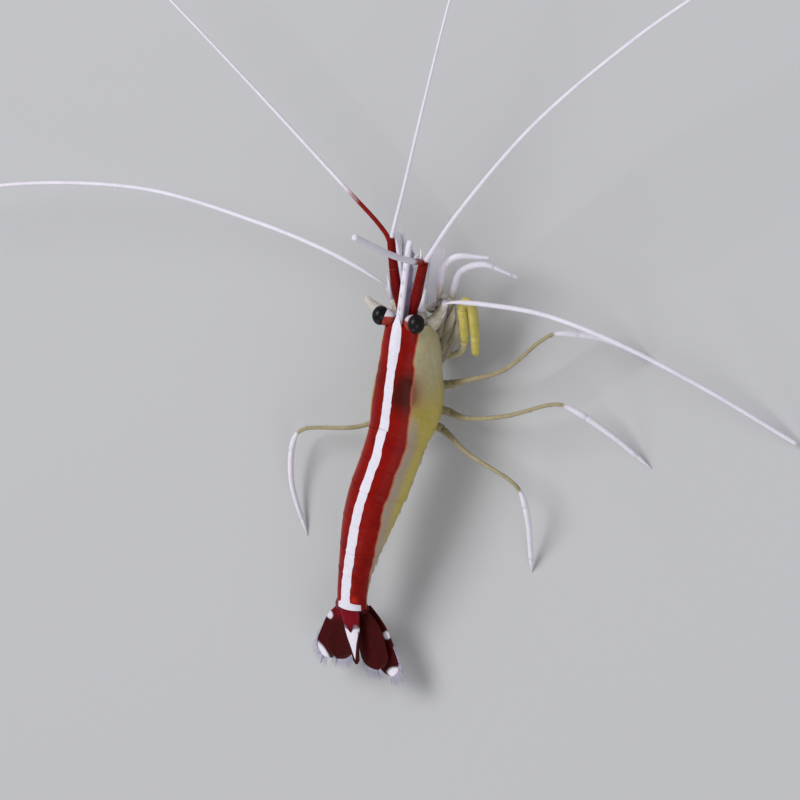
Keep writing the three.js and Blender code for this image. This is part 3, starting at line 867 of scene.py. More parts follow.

# %% [markdown]
# ### Antennules
# Each antennule has a stem of three parts and two long feelers. The first part is the
# longest, with a thin pointed scale on its outer side. The rings of each feeler are real:
# every third of a millimetre the tube swells and narrows.

# %% Antennule stems
STEMS = {
    "right": {"root": (0.9, 0.9, 10.7), "end": (2.7, 8.05, 12.6), "halves": (0.55, 0.68, 0.60)},
    "left": {"root": (-1.05, 1.0, 10.4), "end": (-3.4, 9.65, 10.6), "halves": (0.42, 0.72, 0.48)},
}
STEM_JOINTS = (0.57, 0.8)
for side, sign in SIDES:
    root, end = Vector(STEMS[side]["root"]), Vector(STEMS[side]["end"])
    near, middle, far = STEMS[side]["halves"]

    def stem_half(t):
        half = blend(near, middle, t / 0.35) if t < 0.35 else middle + (far - middle) * (t - 0.35) / 0.65
        return half * pinch(t, STEM_JOINTS, 0.10, 0.04)

    bm = bmesh.new()
    stem = tube(bm, [root, root.lerp(end, 0.5) + UP * 0.1, end], stops(36, STEM_JOINTS), 24, stem_half,
                lambda t: stem_half(t) * 0.85,
                tone=lambda t: 0.25 * max(bump(t, joint, 0.006) for joint in STEM_JOINTS))
    for t in STEM_JOINTS:
        for lean in (-1, 1):
            sideways = stem.side(t) * lean
            spike(bm, stem.spot(t - 0.01) + sideways * far * 0.9, stem.heading(t) + sideways * 0.5, 0.4,
                  0.05, tone=1.0)
    settle(bm, f"antennule_{side}_stem", stem_red, [f"antennule_stem_{side}"])

    bm = bmesh.new()
    scale_way = (end - root).normalized() + Vector((sign * 0.02, 0, 0.03))
    spike(bm, stem.spot(0.14) + Vector((sign * 0.98, 0, 0.05)), scale_way, 3.1, 0.38, sides=10, tone=0.75)
    if side == "right":
        spike(bm, end - stem.heading(1) * 0.3 - Vector((0.25, 0, 0)), (-0.05, 1, 0.25), 2.0, 0.26,
              sides=8, tone=1.0)
    else:
        beside = Matrix.Translation((0.78, -0.1, -0.1))
        shares = stops(20)
        halves = [0.3 * math.sin(math.pi * (0.12 + 0.8 * t)) + 0.04 for t in shares]
        grow(bm, [beside @ stem.place(0.35 + 0.63 * t, half, 0.14) for t, half in zip(shares, halves)],
             12, {"tone": [0.75] * len(shares)})
    settle(bm, f"stem_scale_{side}", rostrum_white)

# %% Feelers with real rings
RING_LENGTH = 0.34


def feeler(name, node, points, root, tip, red_reach=0.0, taper=0.5, up=UP, slim_root=1.0):
    """root and tip are half thicknesses; red_reach is the length of its red root in millimetres."""
    length = Route(points).length
    last = 2 * int(length / RING_LENGTH)

    def half(t):
        ring = round(t * last)
        swell = (1.03 if ring % 2 else 0.97) * (0.3 if ring == last else 1.0)
        return (root + (tip - root) * t**taper) * swell * blend(slim_root, 1.0, t / 0.1)

    def tone(t):
        return smooth((t * length - red_reach * 0.45) / (red_reach * 0.8)) if red_reach else 1.0

    bm = bmesh.new()
    tube(bm, points, stops(last), 8, half, up=up, tone=tone)
    settle(bm, name, feeler_white, [node])


feeler("feeler_left_outer", "antennule_left_outer",
       [(-3.5, 9.2, 10.65), (-3.85, 9.8, 10.75), (-5.2, 11.1, 10.95), (-9.0, 13.9, 11.4),
        (-23.1, 24.2, 13.0), (-35.9, 33.0, 14.0), (-44.6, 38.5, 14.3)],
       root=0.31, tip=0.15, red_reach=8.6, taper=0.6)
feeler("feeler_left_inner", "antennule_left_inner",
       [(-3.25, 9.3, 10.65), (-3.1, 10.0, 10.75), (-2.75, 11.6, 11.0), (-1.7, 16.4, 11.6),
        (0.0, 24.1, 12.8), (3.2, 39.6, 14.4), (5.4, 50.5, 14.6)], root=0.28, tip=0.15, red_reach=0.5)
feeler("feeler_right_inner", "antennule_right_inner",
       [(2.95, 8.15, 12.85), (4.0, 9.7, 13.3), (7.3, 14.5, 14.8), (18.5, 28.0, 19.0),
        (32.2, 40.8, 23.0), (43.0, 49.5, 25.4)], root=0.32, tip=0.2, red_reach=0.4)
feeler("feeler_right_outer", "antennule_right_outer",
       [(2.6, 8.0, 12.9), (2.85, 8.3, 13.9), (4.1, 9.15, 18.0), (6.5, 11.2, 26.0),
        (9.4, 13.8, 35.0), (13.4, 17.3, 46.8)], root=0.36, tip=0.38, red_reach=5.0, up=AHEAD)

# %% [markdown]
# ### Antennae
# Under each antennule stands an antenna: a thick pale base with a spine, a broad clear scale
# that steers the animal when it darts, fringed on its inner edge, and the longest feeler.

# %% Antenna bases
BASE_JOINTS = (0.6, 0.8)
for side, sign in SIDES:
    drop = 0.0 if side == "right" else 0.5
    bm = bmesh.new()
    base = tube(bm, [(sign * 0.9, -2.2, 8.9 - drop), (sign * 1.9, -0.6, 8.5 - drop),
                     (sign * 2.6, 0.3, 8.2 - drop), (sign * 3.2, 1.4, 8.25 - drop),
                     (sign * 3.9, 2.5, 8.65 - 1.4 * drop), (sign * 4.25, 3.0, 9.05 - 1.55 * drop)],
                stops(28, BASE_JOINTS), 24,
                lambda t: blend(1.25, 0.42, t) * pinch(t, BASE_JOINTS, 0.12, 0.05),
                tone=lambda t: 0.1 + 0.5 * smooth((t - 0.8) / 0.2))
    spike(bm, base.spot(0.58) + Vector((sign * 0.7, 0.1, 0.2)), (sign * 0.55, 1, 0.1), 1.1, 0.22,
          sides=8, tone=0.6)
    settle(bm, f"antenna_base_{side}", hook_white, [f"antenna_stem_{side}"])

bm = bmesh.new()
tube(bm, [(-2.3, -0.6, 9.6), (-3.3, -0.1, 9.9), (-4.7, 0.75, 10.2), (-6.0, 1.6, 10.3)], stops(16), 20,
     lambda t: blend(1.15, 0.42, t), tone=lambda t: 0.1 + 0.3 * t)
settle(bm, "scale_base_left", hook_white)

feeler("antenna_feeler_left", "antenna_left",
       [(-4.2, 2.9, 8.1), (-7.0, 4.5, 9.5), (-12.2, 6.2, 10.5), (-22.4, 7.8, 11.0),
        (-38.9, 8.7, 11.5), (-61.5, 4.6, 10.5), (-73.0, 0.0, 9.4)],
       root=0.31, tip=0.22, taper=0.7, slim_root=0.55)
feeler("antenna_feeler_right", "antenna_right",
       [(4.15, 2.9, 9.1), (6.4, 3.6, 9.9), (10.8, 4.3, 10.5), (18.2, 4.7, 10.5),
        (27.1, 3.4, 9.7), (38.1, -0.6, 5.8), (48.3, -5.6, 1.1)],
       root=0.31, tip=0.28, taper=0.7, slim_root=0.45)

# %% [markdown]
# A fringe is a row of bristles that fan out from a plate's edge. Each is a thin cone of three
# sides, because hundreds of them stand side by side, and has a small patch of its own where it
# stands on the plate's flat map. A seeded random keeps them uneven in the same way each time.

# %% A fringe along an edge
MAP_SIDE = 12.0
BRISTLE_HALF, BRISTLE_DROOP = 0.035, 0.1


def fringe(name, place, spots, way_out, length, seed, density=14):
    """Bristles between neighbouring spots of a plate's edge. way_out and length take a spot."""
    shuffle = random.Random(seed)
    bm = bmesh.new()
    for a, b in zip(spots, spots[1:]):
        for k in range(int((b - a).length * density + shuffle.random())):
            root = a.lerp(b, shuffle.random())
            way = (place.to_3x3() @ way_out(root)).normalized()
            way += Vector([shuffle.uniform(-0.12, 0.12) for axis in range(3)]) - UP * BRISTLE_DROOP
            patch = (0.5 + root.x / MAP_SIDE, 0.05 + root.y / MAP_SIDE)
            spike(bm, place @ root - way * 0.08, way, length(root) * shuffle.uniform(0.75, 1.1),
                  BRISTLE_HALF, sides=3, patch=patch)
    settle(bm, name, bristle)


# %% [markdown]
# A paddle, such as an antennal scale or a tail plate, is a sheet bent over a middle rib. Its
# outline is a half width that grows from the root and closes in a round end; u runs from
# root to tip and v across. The same builder makes every paddle, so it takes the outline, the
# arch and the colours as functions.

# %% A bent paddle
TIP_CROWDING = 1.35


def paddle(place, length, half_width, tone, arch, steps=(48, 24), thick=0.12):
    """A closed plate with a rib, and its rim's spots. place carries it from its own axes, y ahead."""
    bm = bmesh.new()
    layer = layer_of(bm, "tone")
    made = bmesh.ops.create_grid(bm, x_segments=steps[0], y_segments=steps[1], size=1)
    rim = []
    for vert in made["verts"]:
        u, v = 1 - (1 - (vert.co.x + 1) / 2) ** TIP_CROWDING, vert.co.y
        x, y = v * half_width(u), u * length
        z = -arch * v * v + 0.07 * bump(v, 0, 0.12) * (1 - u) + 0.03 * bump(abs(v), 0.55, 0.1) * (1 - u)
        vert[layer] = tone(x, y, u, v)
        vert.co = (x, y, z)
        if abs(v) > 0.999 or u > 0.999:
            rim.append((math.atan2(x, y - length * 0.6), vert.co.copy()))
    bmesh.ops.remove_doubles(bm, verts=bm.verts, dist=0.002)
    bmesh.ops.solidify(bm, geom=list(bm.faces), thickness=-thick)
    bmesh.ops.translate(bm, vec=UP * (-thick / 2), verts=bm.verts)
    bmesh.ops.transform(bm, matrix=place, verts=bm.verts)
    rim.sort(key=lambda pair: pair[0])
    return bm, [pair[1] for pair in rim]


def round_end(root, widest, end):
    """Half width along a paddle: it widens fast from its root and closes in a half ellipse."""
    def half(u):
        if u < end:
            return root + (widest - root) * math.sin(math.pi / 2 * min(u / end * 1.6, 1.0))
        return widest * math.sqrt(max(1 - ((u - end) / (1 - end)) ** 2, 0.0)) + 0.002
    return half


# %% Antennal scales
SCALE_LENGTH = 8.3
SCALES = {"right": ((2.45, 1.75, 9.4), 0.10), "left": ((-3.0, 1.75, 8.9), 0.02)}


def scale_tone(x, y, u, v):
    return 0.1 + 0.4 * smooth((abs(v) - 0.9) / 0.1) + 0.35 * smooth((u - 0.6) / 0.3)


for side, sign in SIDES:
    root, rise = SCALES[side]
    heading = Matrix.Rotation(-sign * 0.05, 4, "Z") @ Matrix.Rotation(rise, 4, "X")
    place = Matrix.Translation(root) @ heading @ Matrix.Rotation(sign * 0.12, 4, "Y")
    bm, edge = paddle(place, SCALE_LENGTH, round_end(0.5, 0.82, 0.8), scale_tone, arch=0.12)
    spike(bm, place @ Vector((sign * 0.86, 6.4, 0.0)), place.to_3x3() @ Vector((sign * 0.06, 1, 0)), 1.8,
          0.12, sides=8, tone=0.8)
    settle(bm, f"scale_{side}", clear_plate, [f"antennal_scale_{side}"])
    inner = sorted([spot for spot in edge if -sign * spot.x > 0.3 and spot.y > 2.2],
                   key=lambda spot: spot.y)
    fringe(f"scale_fringe_{side}", place, inner, lambda spot: Vector((-sign * 0.7, 0.75, 0)),
           lambda spot: 0.8, seed=7 + sign)

# %% [markdown]
# ### The front of the head
# Between eyes and mouth the head is a rounded block of pale skin that carries the stems. In
# front of the mouth hang the lip and the jaws, two smooth lobes, with the small foot-jaws as
# bent leaves beside them.

# %% Head block and mouth
HEAD_LOBES = [((0, 0, 0), 1.0), ((0.8, -0.5, 0.6), 0.72), ((-0.8, -0.5, 0.6), 0.72), ((0, -0.9, 1.3), 0.7),
              ((0, -1.4, -1.6), 0.85), ((0.75, -1.6, -2.6), 0.6), ((-0.75, -1.6, -2.6), 0.6),
              ((1.5, 0.9, -1.9), 0.45), ((2.0, 1.6, -1.7), 0.3), ((-1.5, 0.9, -1.9), 0.45)]
bm = bmesh.new()
head_low, head_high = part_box("head_front")
head_centre = (head_low + head_high) / 2 / MM - SHIFT
head_half = (head_high - head_low) / 2 / MM
for offset, size in HEAD_LOBES:
    lobe = Matrix.Translation(head_centre + Vector(offset)) @ Matrix.Diagonal((*(head_half * size), 1))
    ball(bm, lobe, tone=0.05)
settle(bm, "head_block", hook_white, ["head_front"])

# %% [markdown]
# Beside the mouth hang the branches of the smaller foot-jaws: thin clear leaves, bent
# forwards, that fan water over the gills. They fill the corner between the antenna's base
# and the first legs.

# %% Leaves beside the mouth
LEAVES = [
    ([(0.9, -5.2, 5.9), (2.0, -1.4, 6.6), (2.95, 1.4, 7.6), (3.6, 3.3, 8.1)], 0.85),
    ([(1.5, -5.4, 5.2), (3.0, -2.0, 5.8), (3.9, 0.7, 6.6), (4.4, 2.6, 7.2)], 0.8),
    ([(2.0, -5.6, 4.8), (3.5, -2.2, 5.2), (4.3, 0.3, 5.9)], 0.7),
    ([(1.5, -1.4, 6.2), (2.7, 0.4, 7.2), (3.4, 2.2, 8.0), (3.7, 3.6, 8.2)], 0.62),
    ([(1.8, -2.2, 5.8), (3.3, -0.6, 6.7), (4.4, 1.0, 7.4), (4.9, 2.6, 7.9)], 0.6),
    ([(2.1, -3.2, 5.3), (3.9, -2.2, 6.0), (4.9, -0.8, 6.6), (5.1, 0.8, 7.1)], 0.5),
]
BASE_LUMPS = [(3.55, 3.5, 8.2, 0.52), (3.95, 3.1, 7.9, 0.5), (3.2, 2.4, 8.0, 0.6)]
for side, sign in SIDES:
    out = 1.0 if side == "right" else -0.8
    bm = bmesh.new()
    for points, half in LEAVES:
        tube(bm, [(out * x, y, z) for x, y, z in points], stops(18), 16,
             lambda t: half * (0.55 + 0.45 * math.sin(math.pi * t)) * (1 - 0.7 * smooth((t - 0.8) / 0.2)),
             half * 0.35, tone=lambda t: 0.1 + 0.3 * t)
    for x, y, z, radius in BASE_LUMPS:
        ball(bm, Matrix.Translation((sign * x, y, z)), radius, 20, 14, tone=0.9)
    settle(bm, f"mouth_leaves_{side}", leaf_skin)

# %% [markdown]
# ## Limbs with joints
# One builder makes all the jointed limbs. It takes the route, the joints, the thickness and
# the tone at a share of the length. It can make a part of short rings, end the limb in a
# claw, and add knobs and spines where they are asked for.

# %% Build a jointed limb
def claw_on(bm, path, spread, length, radius, tone):
    """Two fingers that part in their middle and meet at their tips."""
    end, way, side = path.spot(1), path.heading(1), path.side(1)
    for lean in (-1, 1):
        tube(bm, [end + side * lean * radius * 0.6, end + way * length * 0.5 + side * lean * spread,
                  end + way * length + side * lean * 0.02], stops(10), 8,
             lambda t: radius * (1 - 0.8 * t), tone=tone)


def limb(name, node, points, joints, thick, tone, material, count=48, rings=(), claw=None,
         spines=(), knobs=()):
    """rings holds (from, to, how many) for each part that is made of many short rings."""
    bm = bmesh.new()
    shares = stops(count, joints)
    swells = {}
    for start, end, many in rings:
        shares = [t for t in shares if not start <= t <= end]
        for i in range(2 * many + 1):
            swells[start + (end - start) * i / (2 * many)] = 1.07 if i % 2 else 0.88
    path = tube(bm, points, sorted(shares + list(swells)), 12,
                lambda t: thick(t) * pinch(t, joints) * swells.get(t, 1.0), tone=tone)
    if claw:
        claw_on(bm, path, *claw, tone=tone(1))
    for share, radius, off in knobs:
        ball(bm, Matrix.Translation(path.spot(share) + Vector(off)), radius, 16, 10, tone=0.6 * tone(share))
    for share, (sideways, upwards, ahead), length in spines:
        across = path.place(share)
        lean = across.col[0].to_3d() * sideways + across.col[1].to_3d() * upwards
        spike(bm, path.spot(share) + lean * thick(share) * 0.8, path.heading(share) * ahead + lean, length,
              0.05, tone=tone(share))
    settle(bm, name, material, [node])


# %% [markdown]
# ### Third foot-jaws and first legs
# On the right the last foot-jaw and the first leg reach forward and curl outwards as two
# white hooks; on the left they are tucked under the head. The first leg ends in a small
# claw, the foot-jaw in a blunt tip.

# %% Foot-jaws and first legs
def hook_thick(root, shaft, tip):
    return profile((0.25, root, shaft), (0.72, shaft, shaft), (1.0, shaft, tip))


HOOKS = [
    ("foot_jaw_right", "maxilliped_right", [(1.3, -0.5, 5.4), (2.1, 1.2, 6.7), (2.8, 3.6, 8.1),
     (3.2, 6.6, 8.85), (3.75, 7.75, 8.95), (5.0, 8.75, 8.85), (8.75, 9.2, 7.6)], (0.3, 0.6), 0.4, None),
    ("foot_jaw_left", "maxilliped_left", [(-1.3, -0.5, 5.4), (-2.2, 1.5, 6.0), (-2.7, 4.3, 6.0),
     (-2.8, 6.2, 5.4), (-2.7, 6.9, 4.5)], (0.4, 0.75), 0.4, None),
    ("leg_1_right_limb", "leg_1_right", [(2.2, -2.2, 5.0), (3.4, 0.4, 6.2), (4.2, 3.5, 7.5),
     (5.0, 6.4, 8.1), (5.9, 7.4, 8.2), (8.3, 8.35, 8.0), (11.4, 7.5, 6.55)], (0.12, 0.38, 0.6, 0.86), 0.4,
     (0.1, 0.8, 0.15)),
    ("leg_1_left_limb", "leg_1_left", [(-2.2, -2.2, 5.0), (-3.0, 0.6, 4.8), (-3.5, 3.4, 4.9),
     (-3.8, 4.8, 4.2), (-4.0, 3.8, 3.1)], (0.15, 0.5, 0.75), 0.36, (0.1, 0.6, 0.14)),
]
for name, node, points, joints, shaft, claw in HOOKS:
    limb(name, node, points, joints, hook_thick(0.5, shaft, 0.2), lambda t: smooth((t - 0.36) / 0.14),
         hook_white, claw=claw)

# %% [markdown]
# ### Second legs
# The second leg's wrist is made of many short rings, as on the animal, whose wrist folds like
# a chain. On the right it is folded beside the head and glows yellow.

# %% Second legs
wrist_thick = profile((0.15, 0.4, 0.4), (0.35, 0.4, 0.6), (0.6, 0.6, 0.6), (1.0, 0.6, 0.51))
limb("leg_2_right_limb", "leg_2_right",
     [(2.9, -4.6, 4.2), (4.5, -3.7, 4.7), (5.35, -2.7, 5.4), (5.9, 0.2, 6.9), (6.2, 3.3, 8.2),
      (6.95, 3.3, 8.0), (7.22, 0.6, 6.8), (6.8, -3.2, 4.9)], (0.1, 0.24, 0.5, 0.9), wrist_thick,
     lambda t: smooth((t - 0.16) / 0.14), yellow_leg, count=60, rings=[(0.56, 0.86, 16)],
     claw=(0.2, 0.6, 0.24), knobs=[(0.47, 0.42, (-0.25, 0.75, 0.3)), (0.5, 0.4, (0.3, 0.5, 0.2))])
limb("leg_2_left_limb", "leg_2_left",
     [(-2.4, -4.4, 3.7), (-3.2, -2.6, 3.7), (-3.9, 0.2, 3.6), (-4.5, 1.8, 3.1), (-4.9, 0.6, 2.2)],
     (0.15, 0.4), hook_thick(0.5, 0.36, 0.26), lambda t: smooth((t - 0.35) / 0.2), yellow_leg,
     rings=[(0.5, 0.9, 10)], claw=(0.1, 0.5, 0.12))

# %% [markdown]
# ### Walking legs
# A walking leg is thin and beige from its root to the knee, then thicker and white, and it
# ends in a small claw on the floor. The parts are, from the root: hip, thigh in two
# lengths, wrist, shin and claw. Small spines stand under the shin and beside the knee.

# %% Walking legs
WALKING_LEGS = {
    "leg_3_right": (0.62, [(2.9, -8.2, 3.8), (6.5, -6.6, 5.4), (12.0, -3.9, 6.7), (17.9, 1.7, 7.2),
                           (20.1, 2.2, 6.2), (23.9, 1.8, 3.8), (28.3, -0.3, 0.07)]),
    "leg_4_right": (0.61, [(3.0, -11.4, 3.8), (6.5, -11.4, 5.0), (12.8, -9.5, 6.5), (19.6, -6.5, 6.5),
                           (21.4, -7.0, 5.6), (25.3, -9.5, 3.1), (29.7, -13.1, 0.07)]),
    "leg_5_right": (0.56, [(2.6, -13.4, 4.3), (8.3, -15.4, 6.1), (14.5, -17.3, 6.2), (15.5, -18.5, 5.5),
                           (15.9, -22.3, 3.5), (15.5, -29.6, 0.07)]),
    "leg_3_left": (0.6, [(-2.9, -8.2, 3.7), (-5.0, -5.0, 3.4), (-5.8, 1.0, 4.1), (-6.0, 5.2, 4.9),
                         (-6.3, 6.3, 4.1), (-6.9, 3.2, 2.2), (-7.8, -4.4, 0.07)]),
    "leg_4_left": (0.56, [(-3.0, -11.2, 3.8), (-7.6, -15.6, 4.4), (-16.6, -18.3, 4.0), (-18.1, -19.8, 3.5),
                          (-18.7, -25.6, 2.3), (-16.8, -32.9, 0.07)]),
    "leg_5_left": (0.53, [(-2.6, -13.4, 4.3), (-5.2, -17.0, 4.0), (-7.4, -23.0, 4.3), (-8.2, -27.2, 4.1),
                          (-8.9, -32.0, 2.6), (-9.4, -40.0, 0.07)]),
}


for name, (knee, points) in WALKING_LEGS.items():
    root = Vector(points[0])
    hip = (trunk_at(-root.y, "shift") * 0.3 + root.x * 0.45, root.y - 0.1, root.z + 1.7)
    points = [hip, (root.x * 0.97, root.y, root.z + 0.35)] + points[1:]
    shin = [(knee + 0.13 + (0.78 - knee) * i / 6, (0.0, -1.0, 0.9), 0.42) for i in range(7)]
    thigh = [(knee - 0.05, (1.0, 0.0, 1.2), 0.5), (knee - 0.14, (1.0, -0.4, 1.2), 0.45)]
    thick = profile((0.22, 0.62, 0.29), (knee, 0.29, 0.23), (knee + 0.06, 0.25, 0.38),
                    (0.93, 0.38, 0.31), (1.0, 0.28, 0.07))
    limb(f"{name}_limb", name, points, (0.1, 0.2, knee, knee + 0.09, 0.93), thick,
         lambda t: smooth((t - knee + 0.01) / 0.03), walking_leg, count=64,
         spines=shin + thigh)

# %% [markdown]
# ## Swimmerets
# Under each of the first five somites hangs a pair of swimmerets: a short stem with two thin
# blades, fringed on both edges and folded back at rest.

# %% Swimmerets
SWIM_SPREAD, SWIM_DROP, SWIM_LEAN = 0.25, 0.4, 0.08
SWIM_BRISTLES = 22


def blade_swell(t):
    return math.sin(math.pi * min(0.1 + 0.86 * t, 1))


def swim_blade(bm, knee, way, reach, size):
    """A thin blade from the stem's end, with bristles on both edges."""
    blade = tube(bm, [knee, knee.lerp(knee + way * reach * size, 0.5), knee + way * reach * size], stops(8),
                 12, lambda t: 0.12 + 0.42 * size * blade_swell(t), 0.09, tone=0.3)
    for k in range(SWIM_BRISTLES):
        t = 0.25 + 0.75 * k / (SWIM_BRISTLES - 1)
        lean = blade.side(t) * (1 if k % 2 else -1)
        spike(bm, blade.spot(t) + lean * 0.35 * blade_swell(t), way + lean * 0.3 * (1.2 - t), 0.45, 0.03,
              sides=3, tone=0.8)


for index in range(5):
    start = SOMITE_REARS[index - 1] if index else CARAPACE_REAR
    back = (start + SOMITE_REARS[index]) / 2
    reach = 2.6 - 0.25 * index
    belly = trunk_at(back, "middle") - trunk_at(back, "tall")
    for side, sign in SIDES:
        x = trunk_at(back, "shift") + sign * SWIM_SPREAD * trunk_at(back, "wide")
        root = Vector((x, -back + 0.7, belly + 0.35))
        knee = Vector((x, -back, belly - SWIM_DROP))
        end = Vector((x, -back - 0.9 * reach, belly - SWIM_DROP - SWIM_LEAN * reach))
        bm = bmesh.new()
        tube(bm, [root, root.lerp(knee, 0.5) + Vector((0, 0.1, 0)), knee], stops(8), 12,
             lambda t: blend(0.5, 0.36, t), lambda t: blend(0.4, 0.26, t), up=AHEAD, tone=0.4)
        way = (end - knee).normalized()
        for turn, size in ((0.22 * sign, 1.0), (-0.16 * sign, 0.85)):
            swim_blade(bm, knee, Matrix.Rotation(turn, 3, "Z") @ way, reach, size)
        settle(bm, f"swimmeret_{index + 1}_{side}_limb", clear_plate,
               [f"swimmeret_{index + 1}_{side}"])

# %% [markdown]
# ## Tail fan
# The telson tapers to a blunt point between four tail plates. White marks lie on the telson
# and near the side and the tip of each outer plate. They are set by distance in the plate's
# own axes, so that they sit in the same place on the mesh in any view.

# %% Telson
TAIL_ROOT = Vector((-4.8, -37.95, 7.95))
TELSON_LENGTH = 7.2
fan_place = (Matrix.Translation(TAIL_ROOT) @ Matrix.Rotation(0.1, 4, "Z")
             @ Matrix.Rotation(0.15, 4, "X"))
telson_place = fan_place @ Matrix.Rotation(0.07, 4, "Z")
telson_own = telson_place.inverted()


def telson_white(spot):
    """The white triangle: a hollowed base, and a point just before the telson's tip."""
    own = telson_own @ spot
    share = (-own.y - 2.45 - 0.5 * (1 - smooth(abs(own.x) / 0.5))) / 3.6
    inside = smooth((1.12 * (1 - share) - abs(own.x)) / 0.16 + 0.5) * smooth(share / 0.06 + 0.5)
    grey = 0.40 * bump(-own.y, 2.45, 0.7) * bump(abs(own.x), 0.75, 0.4)
    return max(inside, grey) * smooth(own.z * 6 + 1)


def telson_crimson(spot):
    own = telson_own @ spot
    return smooth((2.6 + 0.4 * bump(own.x, 0, 0.5) + own.y) / 1.4) * smooth(own.z * 6 + 1)


def telson_spine(x, y, z, way, length, half, tone):
    spike(bm, telson_place @ Vector((x, y, z)), telson_place.to_3x3() @ Vector(way), length, half, tone=tone)


bm = bmesh.new()
tube(bm, [telson_place @ Vector((0, 0.5, 0)), telson_place @ Vector((0, -3.5, 0.02)),
          telson_place @ Vector((0, -TELSON_LENGTH, 0))], stops(60), 64,
     lambda t: blend(1.35, 0.48, t) * (1 - 0.55 * smooth((t - 0.93) / 0.07)),
     lambda t: blend(0.6, 0.22, t))
paint(bm, "tone", telson_white)
paint(bm, "hot", telson_crimson)
for sign in (-1, 1):
    for x, y in ((0.95, 2.9), (0.7, 4.9)):
        telson_spine(sign * x, -y, 0.2, (sign * 0.1, -1, 0.35), 0.55, 0.06, 0.0)
    for x, length in ((0.1, 0.42), (0.2, 0.6), (0.3, 0.3)):
        telson_spine(sign * x, -TELSON_LENGTH + 0.1, 0, (sign * 0.15, -1, 0), length, 0.045, 0.8)
settle(bm, "telson_plate", tail_red, ["telson"])

# %% [markdown]
# The plates of each side grow from one short stem, which leaves the last somite beside the
# telson. On the left it is crimson, as the telson's root is.

# %% Stems of the tail plates
TAIL_STEMS = {"right": {"out": 0.0, "ahead": 0.45, "crimson": 0.25},
              "left": {"out": 0.6, "ahead": 0.2, "crimson": 0.8}}


def tail_stem_half(t):
    return 0.66 + 0.2 * math.sin(math.pi * t) - 0.3 * smooth((t - 0.8) / 0.2)


for side, sign in SIDES:
    out, ahead, crimson = TAIL_STEMS[side].values()
    bm = bmesh.new()
    tube(bm, [fan_place @ Vector((sign * 0.7, 1.3, -0.3)),
              fan_place @ Vector((sign * (1.05 + out), ahead, -0.75)),
              fan_place @ Vector((sign * (1.4 + out), -0.8, -1.35))], stops(14), 24, tail_stem_half,
         lambda t: tail_stem_half(t) * 0.8, tone=0.0, hot=lambda t: crimson * (1 - 0.6 * t))
    settle(bm, f"tail_stem_{side}", tail_red)

# %% Tail plates
PLATES = [
    {"name": "uropod_inner_right", "root": (1.05, -0.95), "spread": 0.215, "size": (8.1, 2.0)},
    {"name": "uropod_inner_left", "root": (-1.1, -0.95), "spread": -0.27, "size": (7.6, 1.9)},
    {"name": "uropod_outer_right", "root": (1.2, -1.75), "spread": 0.36, "size": (9.4, 1.65)},
    {"name": "uropod_outer_left", "root": (-1.75, -1.75), "spread": -0.46, "size": (8.6, 1.8)},
]


def plate_tone(length, half, sign, outer):
    """An outer plate has white marks on its side and tip and a thin pale rim. An inner one has none."""
    side_at, band = (0.44, 0.0) if sign < 0 else (0.34, 0.35)

    def tone(x, y, u, v):
        if not outer:
            return 0.0
        rim = 0.2 * smooth((-sign * v - 0.95) / 0.05)
        side_spot = smooth(1.4 - math.hypot((x - sign * half * 0.82) / 0.62, (y - side_at * length) / 0.55))
        along_tip = (y - 0.95 * length) + band * (x - sign * half * 0.25) * sign
        tip_spot = smooth(1.4 - math.hypot((x - sign * half * 0.25) / (1.1 + band), along_tip / 0.75))
        return max(side_spot, tip_spot, rim)
    return tone


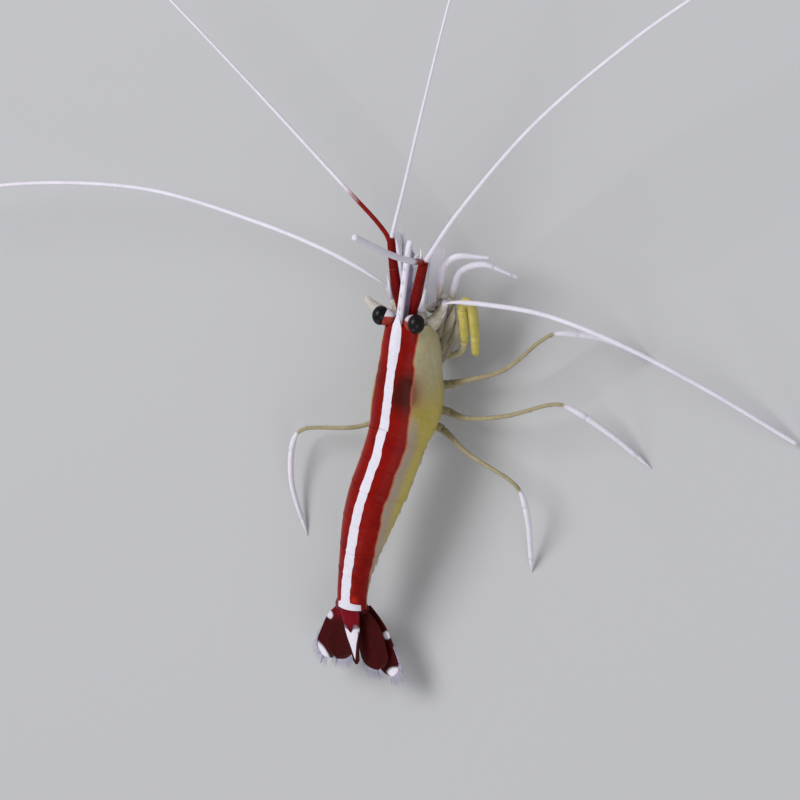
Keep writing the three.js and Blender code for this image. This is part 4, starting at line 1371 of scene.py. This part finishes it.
fan_own = fan_place.inverted()
for plate in PLATES:
    name = plate["name"]
    outer = "outer" in name
    length, widest = plate["size"]
    out, lower = plate["root"]
    sign = 1 if out > 0 else -1
    place = (fan_place @ Matrix.Translation((out, -0.15, lower))
             @ Matrix.Rotation(plate["spread"], 4, "Z") @ Matrix.Rotation(math.pi, 4, "Z"))
    bm, edge = paddle(place, length, round_end(0.55, widest, 0.76),
                      plate_tone(length, widest, -sign, outer), arch=0.18, steps=(64, 40), thick=0.16)
    paint(bm, "hot", lambda spot: 0.9 * smooth(((fan_own @ spot).y + 2.7) / 1.7) if sign < 0 else 0.0)
    settle(bm, f"{name}_plate", tail_red, [name])
    start, lean = (0.6, sign) if outer else (0.84, -sign)
    bare = [spot for spot in edge if spot.y > length * start and spot.x * lean < widest * 0.35]
    fringe(f"{name}_fringe", place, bare,
           lambda spot: Vector((spot.x * 0.5, 0.35 + 0.7 * (spot.y / length), 0)),
           lambda spot: 0.5 + 1.0 * smooth((spot.y / length - 0.8) / 0.15), density=26, seed=len(name))

# %% [markdown]
# ## Floor, light and finish
# The animal stands on a plain pale floor under soft studio light: a strong lamp ahead on its
# left, a weaker one on its right, a faint one behind it and a low pale surround, so that the
# shell shows its gloss without hard shadows.

# %% Floor
bm = bmesh.new()
bmesh.ops.create_grid(bm, x_segments=1, y_segments=1, size=1.5)
floor_mesh = bpy.data.meshes.new("floor")
bm.to_mesh(floor_mesh)
bm.free()
floor_finish = bpy.data.materials.new("Floor")
floor_finish.use_nodes = True
fill(floor_finish.node_tree, floor_finish.node_tree.nodes["Principled BSDF"],
     {"Base Color": (0.46, 0.46, 0.47, 1), "Roughness": 0.9})
floor_mesh.materials.append(floor_finish)
put_in_scene("floor", floor_mesh)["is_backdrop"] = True

# %% Lights
def soft_lamp(name, spot, size, watts):
    data = bpy.data.lights.new(name, "AREA")
    data.size = size
    data.energy = watts
    lamp = put_in_scene(name, data)
    lamp.location = spot
    lamp.rotation_mode = "QUATERNION"
    lamp.rotation_quaternion = (Vector((0, 0, 0.01)) - Vector(spot)).to_track_quat("-Z", "Y")


soft_lamp("key", (-0.35, 0.35, 0.75), 0.45, 6.0)
soft_lamp("fill", (0.6, -0.25, 0.5), 0.5, 1.6)
soft_lamp("rear", (-0.1, -0.7, 0.4), 0.4, 1.0)
world = bpy.data.worlds.new("surround")
world.use_nodes = True
fill(world.node_tree, world.node_tree.nodes["Background"], {"Color": (0.93, 0.95, 1.0, 1), "Strength": 0.38})
bpy.context.scene.world = world
bpy.context.scene.view_settings.view_transform = "Standard"

# %% Sizes, then finish
low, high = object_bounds()
